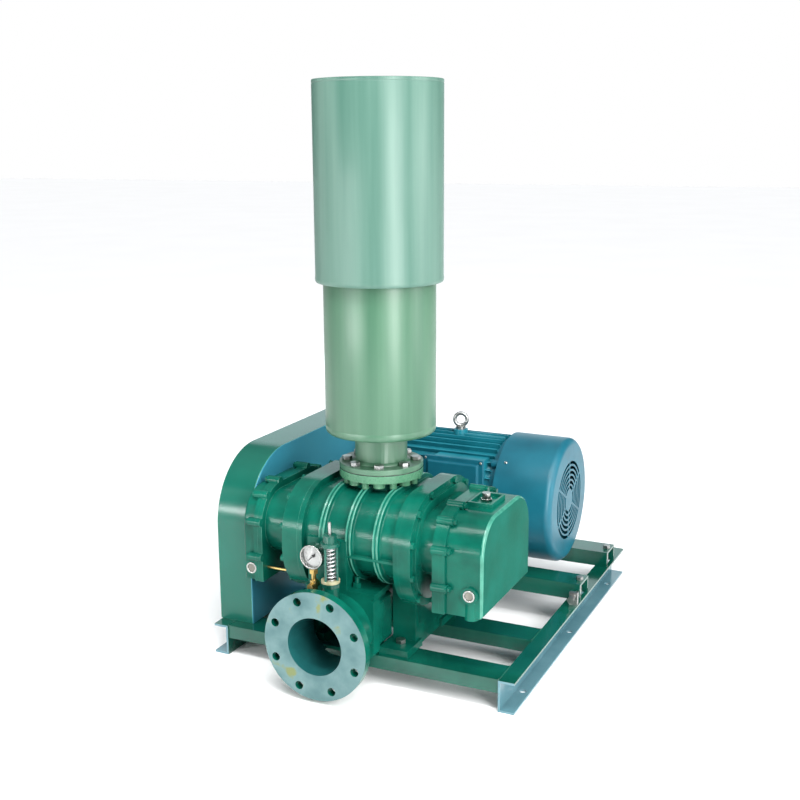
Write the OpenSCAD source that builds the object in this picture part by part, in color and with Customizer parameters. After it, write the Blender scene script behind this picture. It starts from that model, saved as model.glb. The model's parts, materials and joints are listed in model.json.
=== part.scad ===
// Belt driven three-lobe roots blower on a welded base, with an inlet silencer standing on top.
// Millimetres. The origin is the centre of the anchor holes, on the floor.
// X runs along the shafts with the motor cooling cowl at +X, and the discharge flange faces -Y.

/* [Base frame] */
// Overall width of the base, across both end rails
base_w = 870; // [850:5:940]
// Overall length of the base, along the end rails
base_l = 1040; // [1030:5:1120]
// Height of the end rails
rail_h = 84; // [78:1:96]
// Flange width of the end rails
rail_flange = 43; // [40:1:52]
// Wall thickness of rails and beams
steel_t = 6; // [5:0.5:8]
// Width of the cross beams under the blower
beam_w = 84; // [78:1:92]
// Depth of the cross beams under the blower
beam_h = 36; // [30:1:48]
// Depth of the beams that carry the motor
motor_beam_h = 46; // [40:1:52]
// Diameter of the anchor holes
anchor_d = 18; // [14:1:20]
// Distance of the anchor holes from the flange tips
anchor_inset = 19; // [17:1:22]
// Spacing of the anchor holes along a rail
anchor_pitch = 400; // [360:5:440]

/* [Blower] */
// Blower centre plane, measured from the front edge of the base
blower_setback = 173; // [168:1:178]
// Distance from the drive side edge of the base to the blower's centre plane
blower_offset = 430; // [425:1:440]
// Height of the shafts above the rails
axis_rise = 296; // [292:1:304]
// Distance between the two rotor shafts
shaft_pitch = 150; // [146:1:154]
// Length of the rotor lobes
rotor_l = 285; // [270:1:290]
// Running gap between rotors and casing
rotor_gap = 0.35; // [0.3:0.05:0.6]
// Wall of the rotor casing
casing_wall = 12; // [10:1:14]
// Height of the casing ribs
rib_h = 10; // [6:1:12]
// Width of a casing rib
rib_w = 16; // [12:1:20]
// Rib spacing
rib_pitch = 76; // [70:1:80]
// Radius of the rotor shafts
shaft_r = 20; // [18:1:22]
// Thickness of the gear side plate
gear_plate_t = 40; // [36:1:42]
// Thickness of the drive side plate
drive_plate_t = 54; // [50:1:56]
// Drop of the rounded lower half of both side plates
plate_drop = 36; // [30:1:40]
// Length of the neck between the gear side plate and the gear cover
gear_neck_l = 40; // [36:1:42]
// Length of the neck between the drive side plate and the drive end cover
drive_neck_l = 67; // [62:1:67]
// Wall of the gear cover and of the drive end cover
cover_wall = 8; // [6:0.5:10]
// Length of the gear cover
gear_cover_l = 114; // [108:1:120]
// Length of the drive end cover
drive_cover_l = 48; // [44:1:49]
// Depth of the oil sump below the shafts
sump_drop = 146; // [140:1:150]
// Spacing of the feet, front to back
foot_pitch = 224; // [220:1:228]

/* [Discharge] */
// Height of the discharge centre above the rails
discharge_rise = 69; // [67:1:74]
// Distance from the discharge face to the shaft plane
discharge_reach = 323; // [315:1:335]
// Shift of the discharge to the drive side
discharge_shift = 31; // [26:1:34]
// Discharge bore diameter
discharge_bore = 151; // [146:1:154]
// Discharge flange outside diameter
flange_od = 285; // [275:1:290]
// Bolt circle of the discharge flange
flange_pcd = 240; // [232:1:244]
// Bolt hole diameter of the discharge flange
flange_hole = 22; // [18:1:24]
// Thickness of the discharge flange
flange_t = 24; // [20:1:28]

/* [Inlet silencer] */
// Radius of the hood, the wider upper shell
hood_r = 163; // [158:1:170]
// Height of the hood
hood_h = 494; // [460:2:520]
// Radius of the lower shell
shell_r = 144; // [138:1:148]
// Visible height of the lower shell
shell_h = 391; // [360:1:420]
// Outside radius of the neck pipe
neck_r = 68.5; // [64:0.5:71]
// Visible height of the neck pipe
neck_h = 79; // [60:1:100]
// Sheet thickness of the silencer
sheet_t = 2; // [1.5:0.5:3]
// Inlet flange outside diameter
inlet_od = 220; // [214:1:226]
// Bolt circle of the inlet flange
inlet_pcd = 180; // [176:1:184]

/* [Motor and drive] */
// Shaft height of the motor above its feet
shaft_h = 180; // [176:1:184]
// Height of the machined pads under the motor feet
packing_t = 5; // [3:1:8]
// Distance from the drive shaft back to the motor shaft
drive_span = 517; // [512:1:530]
// Length of the motor over shaft and cowl
motor_l = 740; // [730:1:750]
// Outside radius of the cooling cowl
cowl_r = 187; // [180:1:190]
// Length of the cooling cowl
cowl_l = 181; // [170:1:190]
// Distance between motor feet across the shaft
foot_a = 279; // [272:1:286]
// Motor shaft diameter
motor_shaft_d = 48; // [42:1:55]
// Pitch diameter of the blower pulley
blower_pulley_d = 250; // [240:1:260]
// Pitch diameter of the motor pulley
motor_pulley_d = 200; // [190:1:210]
// Number of belts
belts = 4; // [3:1:4]
// Travel of the motor for belt tension
tension_travel = 25; // [10:1:30]
// Width of the belt guard
guard_w = 105; // [103:1:112]
// Height of the belt guard above the rails
guard_h = 462; // [455:1:475]

/* [Gauge and relief valve] */
// Pressure gauge diameter
gauge_d = 63; // [58:1:68]
// Lift of the relief valve
valve_lift = 8; // [4:1:10]
// Mean diameter of the relief valve spring
spring_d = 28; // [26:1:30]

/* [Hidden] */
$fn = 96;

fit = 0.3;
run = 0.05;
blower_y = -base_l / 2 + blower_setback;
blower_x = blower_offset - base_w / 2;
axis_z = rail_h + axis_rise;
half_pitch = shaft_pitch / 2;
drive_y = blower_y + half_pitch;
driven_y = blower_y - half_pitch;
tip_r = shaft_pitch * 2 / 3;
pitch_r = shaft_pitch / 2;
roll_r = pitch_r / 6;
bore_r = tip_r + rotor_gap;
casing_r = bore_r + casing_wall;
rib_r = casing_r + rib_h;
plate_r = rib_r + 7;
cover_r = half_pitch + 21;
neck_ring_r = cover_r - 10;
end_play = 0.5;
casing_l = rotor_l + 2 * end_play;
casing_x0 = blower_x - casing_l / 2;
casing_x1 = blower_x + casing_l / 2;
gear_plate_x1 = casing_x1 + gear_plate_t;
gear_face = gear_plate_x1 + gear_neck_l;
gear_flange_t = 18;
gear_cover_x1 = gear_face + gear_flange_t + gear_cover_l;
drive_plate_x0 = casing_x0 - drive_plate_t;
drive_face = drive_plate_x0 - drive_neck_l;
drive_flange_t = 14;
drive_cover_x0 = drive_face - drive_flange_t - drive_cover_l;

rail_inner = base_w / 2 - rail_flange;
beam_front_y = blower_y - foot_pitch / 2 - 15;
beam_middle_y = blower_y + foot_pitch / 2 + 9;
motor_y = drive_y + drive_span;
motor_seat_z = rail_h + motor_beam_h + packing_t;
motor_z = motor_seat_z + shaft_h;
guard_x0 = -base_w / 2 - 5;
guard_x1 = guard_x0 + guard_w;
shaft_end_room = 31;
motor_tip_x = guard_x0 + shaft_end_room;
cowl_x1 = motor_tip_x + motor_l;
cowl_x0 = cowl_x1 - cowl_l;
shoulder_x = motor_tip_x + 110;
frame_x0 = shoulder_x + 34;
frame_x1 = cowl_x0 - 20;
foot_x0 = frame_x0 + 87;
foot_x1 = frame_x1 - 29;
body_r = cowl_r - 26;

pulley_pitch = 19;
pulley_l = belts * pulley_pitch + 6;
pulley_x0 = (guard_x0 + guard_x1) / 2 - pulley_l / 2;
drive_shaft_x0 = pulley_x0 - 4;

module along_x(x0, x1) {
    translate([x0, 0, 0]) rotate([90, 0, 90]) linear_extrude(x1 - x0) children();
}
module along_y(y0, y1) {
    translate([0, y1, 0]) rotate([90, 0, 0]) linear_extrude(y1 - y0) children();
}
module along_z(z0, z1) {
    translate([0, 0, z0]) linear_extrude(z1 - z0) children();
}
module rod_x(x0, x1, r, y = 0, z = 0) {
    translate([x0, y, z]) rotate([0, 90, 0]) cylinder(h = x1 - x0, r = r);
}
module rod_y(y0, y1, r, x = 0, z = 0) {
    translate([x, y1, z]) rotate([90, 0, 0]) cylinder(h = y1 - y0, r = r);
}
module rod_z(z0, z1, r, x = 0, y = 0) {
    translate([x, y, z0]) cylinder(h = z1 - z0, r = r);
}
module hex_x(x0, x1, af, y, z) {
    translate([x0, y, z]) rotate([0, 90, 0]) cylinder(h = x1 - x0, r = af / sqrt(3), $fn = 6);
}
module hex_y(y0, y1, af, x, z) {
    translate([x, y1, z]) rotate([90, 0, 0]) cylinder(h = y1 - y0, r = af / sqrt(3), $fn = 6);
}
module hex_z(z0, z1, af, x, y) {
    translate([x, y, z0]) cylinder(h = z1 - z0, r = af / sqrt(3), $fn = 6);
}
// A box by its two corners
module block(a, b) {
    translate(a) cube(b - a);
}
// Two circles on the shaft centres and the flat between them, on the YZ plane
module oval(r) {
    translate([blower_y, axis_z]) {
        translate([-half_pitch, 0]) circle(r);
        translate([half_pitch, 0]) circle(r);
        square([shaft_pitch, 2 * r], center = true);
    }
}
// Side plate outline: the oval drawn down, so that its lower half is rounded further down
module plate_oval(r) {
    oval(r);
    translate([0, -plate_drop]) oval(r);
    translate([blower_y - half_pitch - r, axis_z - plate_drop]) square([shaft_pitch + 2 * r, plate_drop]);
}
// Oval with a square oil sump under it
module sump_oval(r, drop) {
    oval(r);
    translate([blower_y - half_pitch - r, axis_z - drop]) square([shaft_pitch + 2 * r, drop]);
}
module shaft_holes(r) {
    for (y = [driven_y, drive_y]) translate([y, axis_z]) circle(r);
}
// Radial section of a disc with a rounded outer edge at its far end
module disc_section(r, l, round_r) {
    square([r - round_r, l]);
    square([r, l - round_r]);
    translate([r - round_r, l - round_r]) intersection() {
        circle(round_r);
        square(round_r);
    }
}
// Oval cover with a sump, all its far edges rounded; it grows along +X
module soft_cover(l, r, drop, round_r) {
    for (y = [driven_y, drive_y])
        translate([0, y, axis_z]) rotate([0, 90, 0]) rotate_extrude() disc_section(r, l, round_r);
    along_y(driven_y, drive_y) translate([0, axis_z]) rotate(90) {
        translate([-1, 0]) mirror([0, 1]) translate([1, 0]) disc_section(r, l, round_r);
        mirror([1, 0]) mirror([0, 1]) disc_section(r, l, round_r);
    }
    intersection() {
        along_z(axis_z - drop, axis_z) {
            translate([0, blower_y]) rotate(90) mirror([0, 1]) disc_section(half_pitch + r, l, round_r);
            translate([0, blower_y]) rotate(90) mirror([1, 0]) mirror([0, 1]) disc_section(half_pitch + r, l, round_r);
        }
        along_y(driven_y - r, drive_y + r) translate([0, axis_z]) rotate(90)
            mirror([1, 0]) mirror([0, 1]) disc_section(drop, l, round_r);
    }
}
// Cycloidal three-lobe rotor: six arcs, each rolled on the pitch circle
function lobe_point(a) =
    let (seg = floor(a / 60), t = a - seg * 60, base = seg * 60)
    (seg % 2 == 0)
    ? [(pitch_r + roll_r) * cos(base + t) - roll_r * cos(base + 7 * t),
       (pitch_r + roll_r) * sin(base + t) - roll_r * sin(base + 7 * t)]
    : [(pitch_r - roll_r) * cos(base + t) + roll_r * cos(base - 5 * t),
       (pitch_r - roll_r) * sin(base + t) + roll_r * sin(base - 5 * t)];
function unit(v) = v / norm(v);
function lobe_inset(a, gap) =
    let (d = unit(lobe_point((a + 0.7) % 360) - lobe_point((a + 359.3) % 360)))
    lobe_point(a) + gap * [-d[1], d[0]];
lobe_profile = [for (a = [0:3:357]) lobe_inset(a, rotor_gap)];
module lobe_section() {
    polygon(lobe_profile);
}

// Channel section on the XZ plane with its web at x = 0 and its flanges pointing to +X
module channel_section(h, w) {
    difference() {
        square([w, h]);
        translate([steel_t, steel_t]) square([w, h - 2 * steel_t]);
    }
}
// Channel lying flat with its web on top, on the YZ plane, centred on y
module flat_channel_section(w, h) {
    difference() {
        translate([-w / 2, 0]) square([w, h]);
        translate([-w / 2 + steel_t, -1]) square([w - 2 * steel_t, h - steel_t + 1]);
    }
}
slot_l = tension_travel + 14;
carriage_bolt_d = 12;
carriage_x = base_w / 2 - rail_flange / 2 + 2;
motor_beam_ys = [motor_y - foot_a / 2 - 16, motor_y + foot_a / 2 - 6];
beam_foot_ys = [motor_y - foot_a / 2, motor_y + foot_a / 2];
module end_rail() {
    difference() {
        along_y(-base_l / 2, base_l / 2) translate([rail_inner, 0]) channel_section(rail_h, rail_flange);
        for (y = [-anchor_pitch, 0, anchor_pitch])
            rod_z(-1, steel_t + 1, anchor_d / 2, base_w / 2 - anchor_inset, y);
        for (y = motor_beam_ys) {
            for (e = [-carriage_bolt_d / 2 - 1, slot_l - carriage_bolt_d / 2])
                rod_z(rail_h - steel_t - 1, rail_h + 1, carriage_bolt_d / 2 + 0.5, carriage_x, y + e);
            block([carriage_x - carriage_bolt_d / 2 - 0.5, y - carriage_bolt_d / 2 - 1, rail_h - steel_t - 1],
                  [carriage_x + carriage_bolt_d / 2 + 0.5, y + slot_l - carriage_bolt_d / 2, rail_h + 1]);
        }
    }
}
module rail_right() {
    color("darkgreen") end_rail();
}
module rail_left() {
    color("darkgreen") mirror([1, 0, 0]) end_rail();
}
foot_bolt_r = 8;
foot_w = 81;
foot_xs = [blower_x - 157, blower_x + 106];
foot_ys = [blower_y - foot_pitch / 2, blower_y + foot_pitch / 2];
module cross_beam(y) {
    difference() {
        translate([0, y, rail_h - beam_h]) along_x(-rail_inner, rail_inner) flat_channel_section(beam_w, beam_h);
        for (x = foot_xs) for (fy = foot_ys) rod_z(rail_h - steel_t - 1, rail_h + 1, foot_bolt_r + fit, x, fy);
    }
}
module beam_front() {
    color("darkgreen") cross_beam(beam_front_y);
}
module beam_middle() {
    color("darkgreen") cross_beam(beam_middle_y);
}
// Screws that push the motor beams back, each in an upright lug on the rail
screw_z = rail_h + motor_beam_h / 2;
lug_t = 12;
module tension_screws() {
    color("lightgray") for (sx = [-1, 1]) {
        x = sx * (rail_inner + rail_flange / 2 + 8);
        y = motor_beam_ys[0] - beam_w / 2;
        difference() {
            block([x - 12, y - 40, rail_h], [x + 12, y - 40 + lug_t, screw_z + 14]);
            rod_y(y - 41, y - 27, 6 + run, x, screw_z);
        }
        rod_y(y - 56, y, 6, x, screw_z);
        hex_y(y - 66, y - 56, 19, x, screw_z);
        hex_y(y - 28, y - 19, 19, x, screw_z);
    }
}

beam_over = 6;
module motor_beam(y, foot_y) {
    top = rail_h + motor_beam_h;
    difference() {
        union() {
            translate([0, y, rail_h])
                along_x(-base_w / 2 + beam_over, base_w / 2 - beam_over) flat_channel_section(beam_w, motor_beam_h);
            for (x = [foot_x0, foot_x1])
                block([x - 32, y - beam_w / 2 + 3, top - 1], [x + 32, y + beam_w / 2 - 3, motor_seat_z]);
        }
        for (x = [foot_x0, foot_x1]) rod_z(top - steel_t - 1, motor_seat_z + 1, 7 + fit, x, foot_y);
        for (x = [-carriage_x, carriage_x])
            rod_z(top - steel_t - 1, top + 1, carriage_bolt_d / 2 + fit, x, y);
    }
}
module motor_beam_front() {
    color("darkgreen") motor_beam(motor_beam_ys[0], beam_foot_ys[0]);
}
module motor_beam_rear() {
    color("darkgreen") motor_beam(motor_beam_ys[1], beam_foot_ys[1]);
}
module carriage_bolts() {
    color("silver") for (sx = [-1, 1]) for (y = motor_beam_ys) {
        x = sx * carriage_x;
        top = rail_h + motor_beam_h;
        rod_z(rail_h - steel_t - 18, top + 10, carriage_bolt_d / 2, x, y);
        hex_z(top, top + 10, 19, x, y);
        hex_z(rail_h - steel_t - 10, rail_h - steel_t, 19, x, y);
    }
}

// Ribbed motor frame with cast feet
fin_n = 44;
fin_h = 20;
fin_t = 3.2;
core_r = body_r - 18;
module motor_feet_holes() {
    for (x = [foot_x0, foot_x1]) for (y = beam_foot_ys) rod_z(motor_seat_z - 1, motor_seat_z + 40, 7 + fit, x, y);
}
module motor_frame() {
    color([0.10, 0.42, 0.55]) difference() {
        union() {
            along_x(frame_x0, frame_x1) translate([motor_y, motor_z]) {
                circle(body_r);
                for (i = [0:fin_n - 1]) rotate((i + 0.5) * 360 / fin_n)
                    translate([body_r - 4, -fin_t / 2]) square([fin_h, fin_t]);
            }
            for (x = [foot_x0, foot_x1]) for (s = [-1, 1]) {
                y = motor_y + s * foot_a / 2;
                block([x - 30, y - 22, motor_seat_z], [x + 30, y + 22, motor_seat_z + 18]);
                for (w = [-24, 16])
                    along_x(x + w, x + w + 8) polygon([
                        [y + s * 20, motor_seat_z + 16], [y - s * 46, motor_seat_z + 16],
                        [y - s * 46, motor_seat_z + 70], [y - s * 8, motor_seat_z + 62]]);
            }
            block([term_x0 + 12, motor_y - body_r - 14, term_z0 + 10], [term_x1 - 12, motor_y - body_r * 0.6, term_z1 - 10]);
            rod_z(motor_z + body_r - 10, motor_z + body_r + fin_h + 4, 22, eye_x, motor_y);
        }
        rod_x(frame_x0 - 1, frame_x1 + 1, core_r, motor_y, motor_z);
        motor_feet_holes();
        rod_z(motor_z + body_r - 30, motor_z + body_r + fin_h + 5, 8 + run, eye_x, motor_y);
    }
}
eye_x = frame_x1 - 151;
term_x1 = frame_x1 - 5;
term_x0 = term_x1 - 185;
term_z0 = motor_z + 58;
term_z1 = term_z0 + 86;
term_y0 = motor_y - body_r - 26;
module terminal_box() {
    color([0.10, 0.42, 0.55]) difference() {
        block([term_x0, term_y0, term_z0], [term_x1, motor_y - body_r - 14, term_z1]);
        block([term_x0 + 5, term_y0 - 1, term_z0 + 5], [term_x1 - 5, motor_y - body_r - 19, term_z1 - 5]);
    }
}
module terminal_lid() {
    color([0.10, 0.42, 0.55]) {
        along_y(term_y0 - 6, term_y0) difference() {
            translate([term_x0 - 3, term_z0 - 3]) square([term_x1 - term_x0 + 6, term_z1 - term_z0 + 6]);
        }
        block([term_x0 + 14, term_y0 - 16, term_z0 + 12], [term_x1 - 14, term_y0 - 6, term_z1 - 12]);
    }
}
module eyebolt() {
    color("silver") {
        z = motor_z + body_r + fin_h + 4;
        rod_z(z - 30, z + 2, 8, eye_x, motor_y);
        rod_z(z, z + 8, 15, eye_x, motor_y);
        translate([eye_x, motor_y, z + 30]) rotate([90, 0, 20])
            rotate_extrude() translate([19, 0]) circle(6, $fn = 32);
    }
}
module motor_core() {
    color("dimgray") difference() {
        rod_x(foot_x0 - 20, foot_x1 + 6, core_r - fit, motor_y, motor_z);
        rod_x(foot_x0 - 21, foot_x1 + 7, 92, motor_y, motor_z);
    }
}
bearing_r = 50;
lug_r = 13;
module shield(x0, x1, flip) {
    difference() {
        union() {
            rod_x(x0, x1, body_r + 6, motor_y, motor_z);
            rod_x(flip > 0 ? x1 - 1 : x0 - 14, flip > 0 ? x1 + 14 : x0 + 1, 86, motor_y, motor_z);
            for (i = [0:3]) rotate_about_motor(45 + 90 * i)
                rod_x(x0, x1, lug_r, cowl_r - sheet_t - fit - lug_r, 0);
        }
        rod_x(x0 - 20, x1 + 20, motor_shaft_d / 2 + 1, motor_y, motor_z);
        rod_x(flip > 0 ? x0 - 1 : x1 - 20, flip > 0 ? x0 + 20 : x1 + 1, bearing_r + run, motor_y, motor_z);
    }
}
module rotate_about_motor(a) {
    translate([0, motor_y, motor_z]) rotate([a, 0, 0]) children();
}
module motor_shield_drive() {
    color([0.10, 0.42, 0.55]) shield(shoulder_x + 14, frame_x0, -1);
}
module motor_shield_rear() {
    color([0.10, 0.42, 0.55]) shield(frame_x1, cowl_x0 + 4, 1);
}
module bearing(x0, x1, inner, outer, y, z) {
    difference() {
        rod_x(x0, x1, outer, y, z);
        rod_x(x0 - 1, x1 + 1, inner, y, z);
    }
}
module motor_bearings() {
    color("silver") {
        bearing(frame_x0 - 20, frame_x0, motor_shaft_d / 2 + run, bearing_r, motor_y, motor_z);
        bearing(frame_x1, frame_x1 + 20, motor_shaft_d / 2 + run, bearing_r, motor_y, motor_z);
    }
}
// Cowl: a drum with a rounded rear edge and a ring grille
cowl_round = 22;
module cowl_section(r, l) {
    disc_section(r, l, cowl_round);
}
module fan_cowl() {
    color([0.12, 0.45, 0.58]) translate([cowl_x0, motor_y, motor_z]) rotate([0, 90, 0]) {
        rotate_extrude() difference() {
            cowl_section(cowl_r, cowl_l);
            cowl_section_inner();
            square([124, cowl_l + 1]);
        }
        translate([0, 0, cowl_l - sheet_t]) linear_extrude(sheet_t) grille_plan();
    }
}
module cowl_section_inner() {
    translate([0, -0.01]) disc_section(cowl_r - sheet_t, cowl_l - sheet_t, cowl_round - sheet_t);
}
module grille_plan() {
    difference() {
        circle(124);
        for (r = [34:15:109]) difference() {
            circle(r + 9);
            circle(r);
            for (a = [0:60:300]) rotate(a) translate([0, -3]) square([140, 6]);
        }
    }
}
module motor_foot_bolts() {
    color("silver") for (x = [foot_x0, foot_x1]) for (y = beam_foot_ys) {
        top = motor_seat_z + 18;
        rod_z(rail_h + motor_beam_h - steel_t - 14, top + 8, 7, x, y);
        hex_z(top, top + 9, 22, x, y);
        hex_z(rail_h + motor_beam_h - steel_t - 11, rail_h + motor_beam_h - steel_t, 22, x, y);
    }
}
module motor_shaft() {
    color("lightgray") {
        rod_x(motor_tip_x, shoulder_x, motor_shaft_d / 2, motor_y, motor_z);
        rod_x(shoulder_x, cowl_x0 + 80, motor_shaft_d / 2, motor_y, motor_z);
        rod_x(foot_x0 - 20, foot_x1 + 6, 91, motor_y, motor_z);
    }
}
fan_x0 = cowl_x0 + 40;
module cooling_fan() {
    color("black") difference() {
        union() {
            rod_x(fan_x0, fan_x0 + 48, 38, motor_y, motor_z);
            rod_x(fan_x0, fan_x0 + 5, 152, motor_y, motor_z);
            for (i = [0:7]) rotate_about_motor(i * 45)
                block([fan_x0, 30, -2.5], [fan_x0 + 72, 158, 2.5]);
        }
        rod_x(fan_x0 - 1, fan_x0 + 73, motor_shaft_d / 2 + 0.01, motor_y, motor_z);
    }
}
// V pulley: a grooved rim, a thin web and a hub, revolved as one casting
module pulley(d, bore, y, z) {
    r = d / 2 + 4;
    translate([pulley_x0, y, z]) rotate([0, 90, 0]) rotate_extrude() difference() {
        union() {
            translate([r - 26, 0]) square([26, pulley_l]);
            translate([bore, pulley_l / 2 - 8]) square([r - 20 - bore, 16]);
            translate([bore, 8]) square([28, pulley_l - 16]);
        }
        for (i = [0:belts - 1]) translate([0, 3 + pulley_pitch * (i + 0.5)])
            polygon([[r - 15, -4.2], [r + 1, -8.2], [r + 1, 8.2], [r - 15, 4.2]]);
    }
}
module blower_pulley() {
    color("dimgray") pulley(blower_pulley_d, shaft_r + 0.01, drive_y, axis_z);
}
module motor_pulley() {
    color("dimgray") pulley(motor_pulley_d, motor_shaft_d / 2 + 0.01, motor_y, motor_z);
}

// Rotor casing, ribbed, with its inlet neck, side pad and two cast feet
inlet_z = axis_z + 160;
inlet_flange_t = 20;
inlet_bore_r = 60;
ledge_z = axis_z - 28;
box_x = blower_x - discharge_shift;
box_half = 66;
box_top = axis_z - casing_r - 26;
pad_x0 = blower_x - 113;
pad_x1 = blower_x - 3;
foot_t = 20;
module casing_outside() {
    along_x(casing_x0, casing_x1) oval(casing_r);
    for (i = [-1:1]) along_x(blower_x + i * rib_pitch - rib_w / 2, blower_x + i * rib_pitch + rib_w / 2) oval(rib_r);
    for (x = [casing_x0, casing_x1 - 14]) along_x(x, x + 14) plate_oval(plate_r);
    block([casing_x0, driven_y - rib_r - 2, ledge_z - 3], [casing_x1, drive_y + rib_r + 2, ledge_z + 3]);
    block([pad_x0, driven_y - rib_r - 4, plate_z1], [pad_x1, blower_y, axis_z + 12]);
    rod_z(axis_z + casing_r * 0.6, inlet_z, inlet_bore_r + 14, blower_x, blower_y);
    rod_z(inlet_z - inlet_flange_t, inlet_z, inlet_od / 2, blower_x, blower_y);
    for (i = [0:7]) rotate_about_inlet(22.5 + 45 * i)
        rod_z(inlet_z - inlet_flange_t - 14, inlet_z - 4, 15, inlet_pcd / 2, 0);
    for (i = [0:7]) rotate_about_inlet(45 * i)
        rod_z(inlet_z - inlet_flange_t - 18, inlet_z - 4, 9, inlet_pcd / 2 + 4, 0);
    block([box_x - box_half - 19, blower_y - 96, box_top], [box_x + box_half + 19, blower_y + 96, axis_z - bore_r + 20]);
    casing_feet();
}
module rotate_about_inlet(a) {
    translate([blower_x, blower_y, 0]) rotate([0, 0, a]) children();
}
module casing_feet() {
    web_top = axis_z - bore_r + 8;
    ya = foot_ys[0] + 22;
    yb = foot_ys[1] - 22;
    for (x = foot_xs) for (y = foot_ys) block([x - foot_w / 2, y - 47, rail_h], [x + foot_w / 2, y + 47, rail_h + foot_t]);
    x1 = foot_xs[1] - foot_w / 2 + 8;
    x2 = foot_xs[1] + foot_w / 2 - 8;
    for (x = [x1, x2 - 14]) block([x, ya, rail_h], [x + 14, yb, web_top]);
    for (y = [ya, yb - 12]) block([x1, y, rail_h], [x2, y + 12, web_top]);
    x3 = casing_x0 + 3;
    x4 = foot_xs[0] - foot_w / 2 + 8;
    block([x3, ya, rail_h], [x3 + 14, yb, web_top]);
    for (y = [ya, yb - 12]) along_y(y, y + 12)
        polygon([[x4, rail_h + 1], [x3 + 1, rail_h + 1], [x3 + 1, rail_h + 118], [x3 - 3, rail_h + 112]]);
}
module rotor_casing() {
    color([0.05, 0.42, 0.30]) difference() {
        casing_outside();
        along_x(casing_x0 - 1, casing_x1 + 1) shaft_holes(bore_r);
        rod_z(axis_z, inlet_z + 1, inlet_bore_r, blower_x, blower_y);
        block([box_x - box_half + 8, blower_y - 60, box_top - 1], [box_x + box_half - 8, blower_y + 60, axis_z]);
        for (i = [0:7]) rotate_about_inlet(22.5 + 45 * i)
            rod_z(inlet_z - inlet_flange_t - 11, inlet_z + 1, 8 + fit, inlet_pcd / 2, 0);
        for (x = foot_xs) for (y = foot_ys) rod_z(rail_h - 1, rail_h + foot_t + 1, foot_bolt_r + fit, x, y);
        casing_screw_holes(casing_x0 - 1, casing_x0 + 13);
        casing_screw_holes(casing_x1 - 13, casing_x1 + 1);
        elbow_screw_holes(box_top - 1, box_top + 18);
    }
}
screw_ring = casing_r + 9;
casing_screws = [for (s = [-1, 1]) for (a = [90, 50, 12, -12, -50, -90])
    [blower_y + s * (half_pitch + screw_ring * cos(a)), axis_z + screw_ring * sin(a) - (a < 0 ? plate_drop : 0)]];
module casing_screw_holes(x0, x1) {
    for (p = casing_screws) rod_x(x0, x1, 5 + run, p[0], p[1]);
}
seal_r = 38;
rotor_bearing_r = 45;
module drive_side_plate() {
    color([0.05, 0.42, 0.30]) difference() {
        union() {
            along_x(drive_plate_x0 + 10, casing_x0) plate_oval(plate_r);
            along_x(drive_plate_x0, casing_x0) plate_oval(plate_r - 19);
            along_x(drive_face, drive_plate_x0 + 1) oval(neck_ring_r);
            along_x(drive_face - drive_flange_t, drive_face) sump_oval(cover_r + 8, sump_drop);
            cover_bosses(drive_face - drive_flange_t, drive_face);
        }
        along_x(drive_face - drive_flange_t - 1, casing_x0 + 1) shaft_holes(shaft_r + 2);
        along_x(casing_x0 - 16, casing_x0 + 1) shaft_holes(seal_r + run);
        along_x(drive_face - drive_flange_t - 1, drive_face + 24) shaft_holes(rotor_bearing_r + run);
        casing_screw_holes(drive_plate_x0 - 1, casing_x0 + 1);
        cover_screw_holes(drive_face - drive_flange_t - 1, drive_face + 1);
    }
}
module gear_side_plate() {
    color([0.05, 0.42, 0.30]) difference() {
        union() {
            along_x(casing_x1, gear_plate_x1 - 8) plate_oval(plate_r);
            along_x(casing_x1, gear_plate_x1) plate_oval(plate_r - 19);
            along_x(gear_plate_x1 - 1, gear_face) oval(neck_ring_r);
            along_x(gear_face, gear_face + gear_flange_t) sump_oval(cover_r + 8, sump_drop);
            cover_bosses(gear_face, gear_face + gear_flange_t);
        }
        along_x(casing_x1 - 1, gear_face + gear_flange_t + 1) shaft_holes(shaft_r + 2);
        along_x(casing_x1 - 1, casing_x1 + 16) shaft_holes(seal_r + run);
        along_x(gear_face - 6, gear_face + gear_flange_t + 1) shaft_holes(rotor_bearing_r + run);
        casing_screw_holes(casing_x1 - 1, gear_plate_x1 + 1);
        cover_screw_holes(gear_face - 1, gear_face + gear_flange_t + 1);
    }
}
cover_screw_r = cover_r + 9;
cover_boss_l = 24;
cover_screws = [for (s = [-1, 1]) each concat(
    [for (a = [10, 52, 90]) [blower_y + s * (half_pitch + cover_screw_r * cos(a)), axis_z + cover_screw_r * sin(a)]],
    [[blower_y + s * (half_pitch + cover_screw_r), axis_z - 78],
     [blower_y + s * half_pitch * 0.6, axis_z - sump_drop - 9]])];
module cover_bosses(x0, x1) {
    for (p = cover_screws) rod_x(x0, x1, 11, p[0], p[1]);
}
module cover_screw_holes(x0, x1) {
    for (p = cover_screws) rod_x(x0, x1, 4 + run, p[0], p[1]);
}
gear_inner_x1 = gear_cover_x1 - cover_wall;
sight_r = 15.5;
gear_sight = [gear_cover_x1 - 34, axis_z - 88];
drive_sight = [drive_cover_x0 + 22, axis_z - 112];
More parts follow.
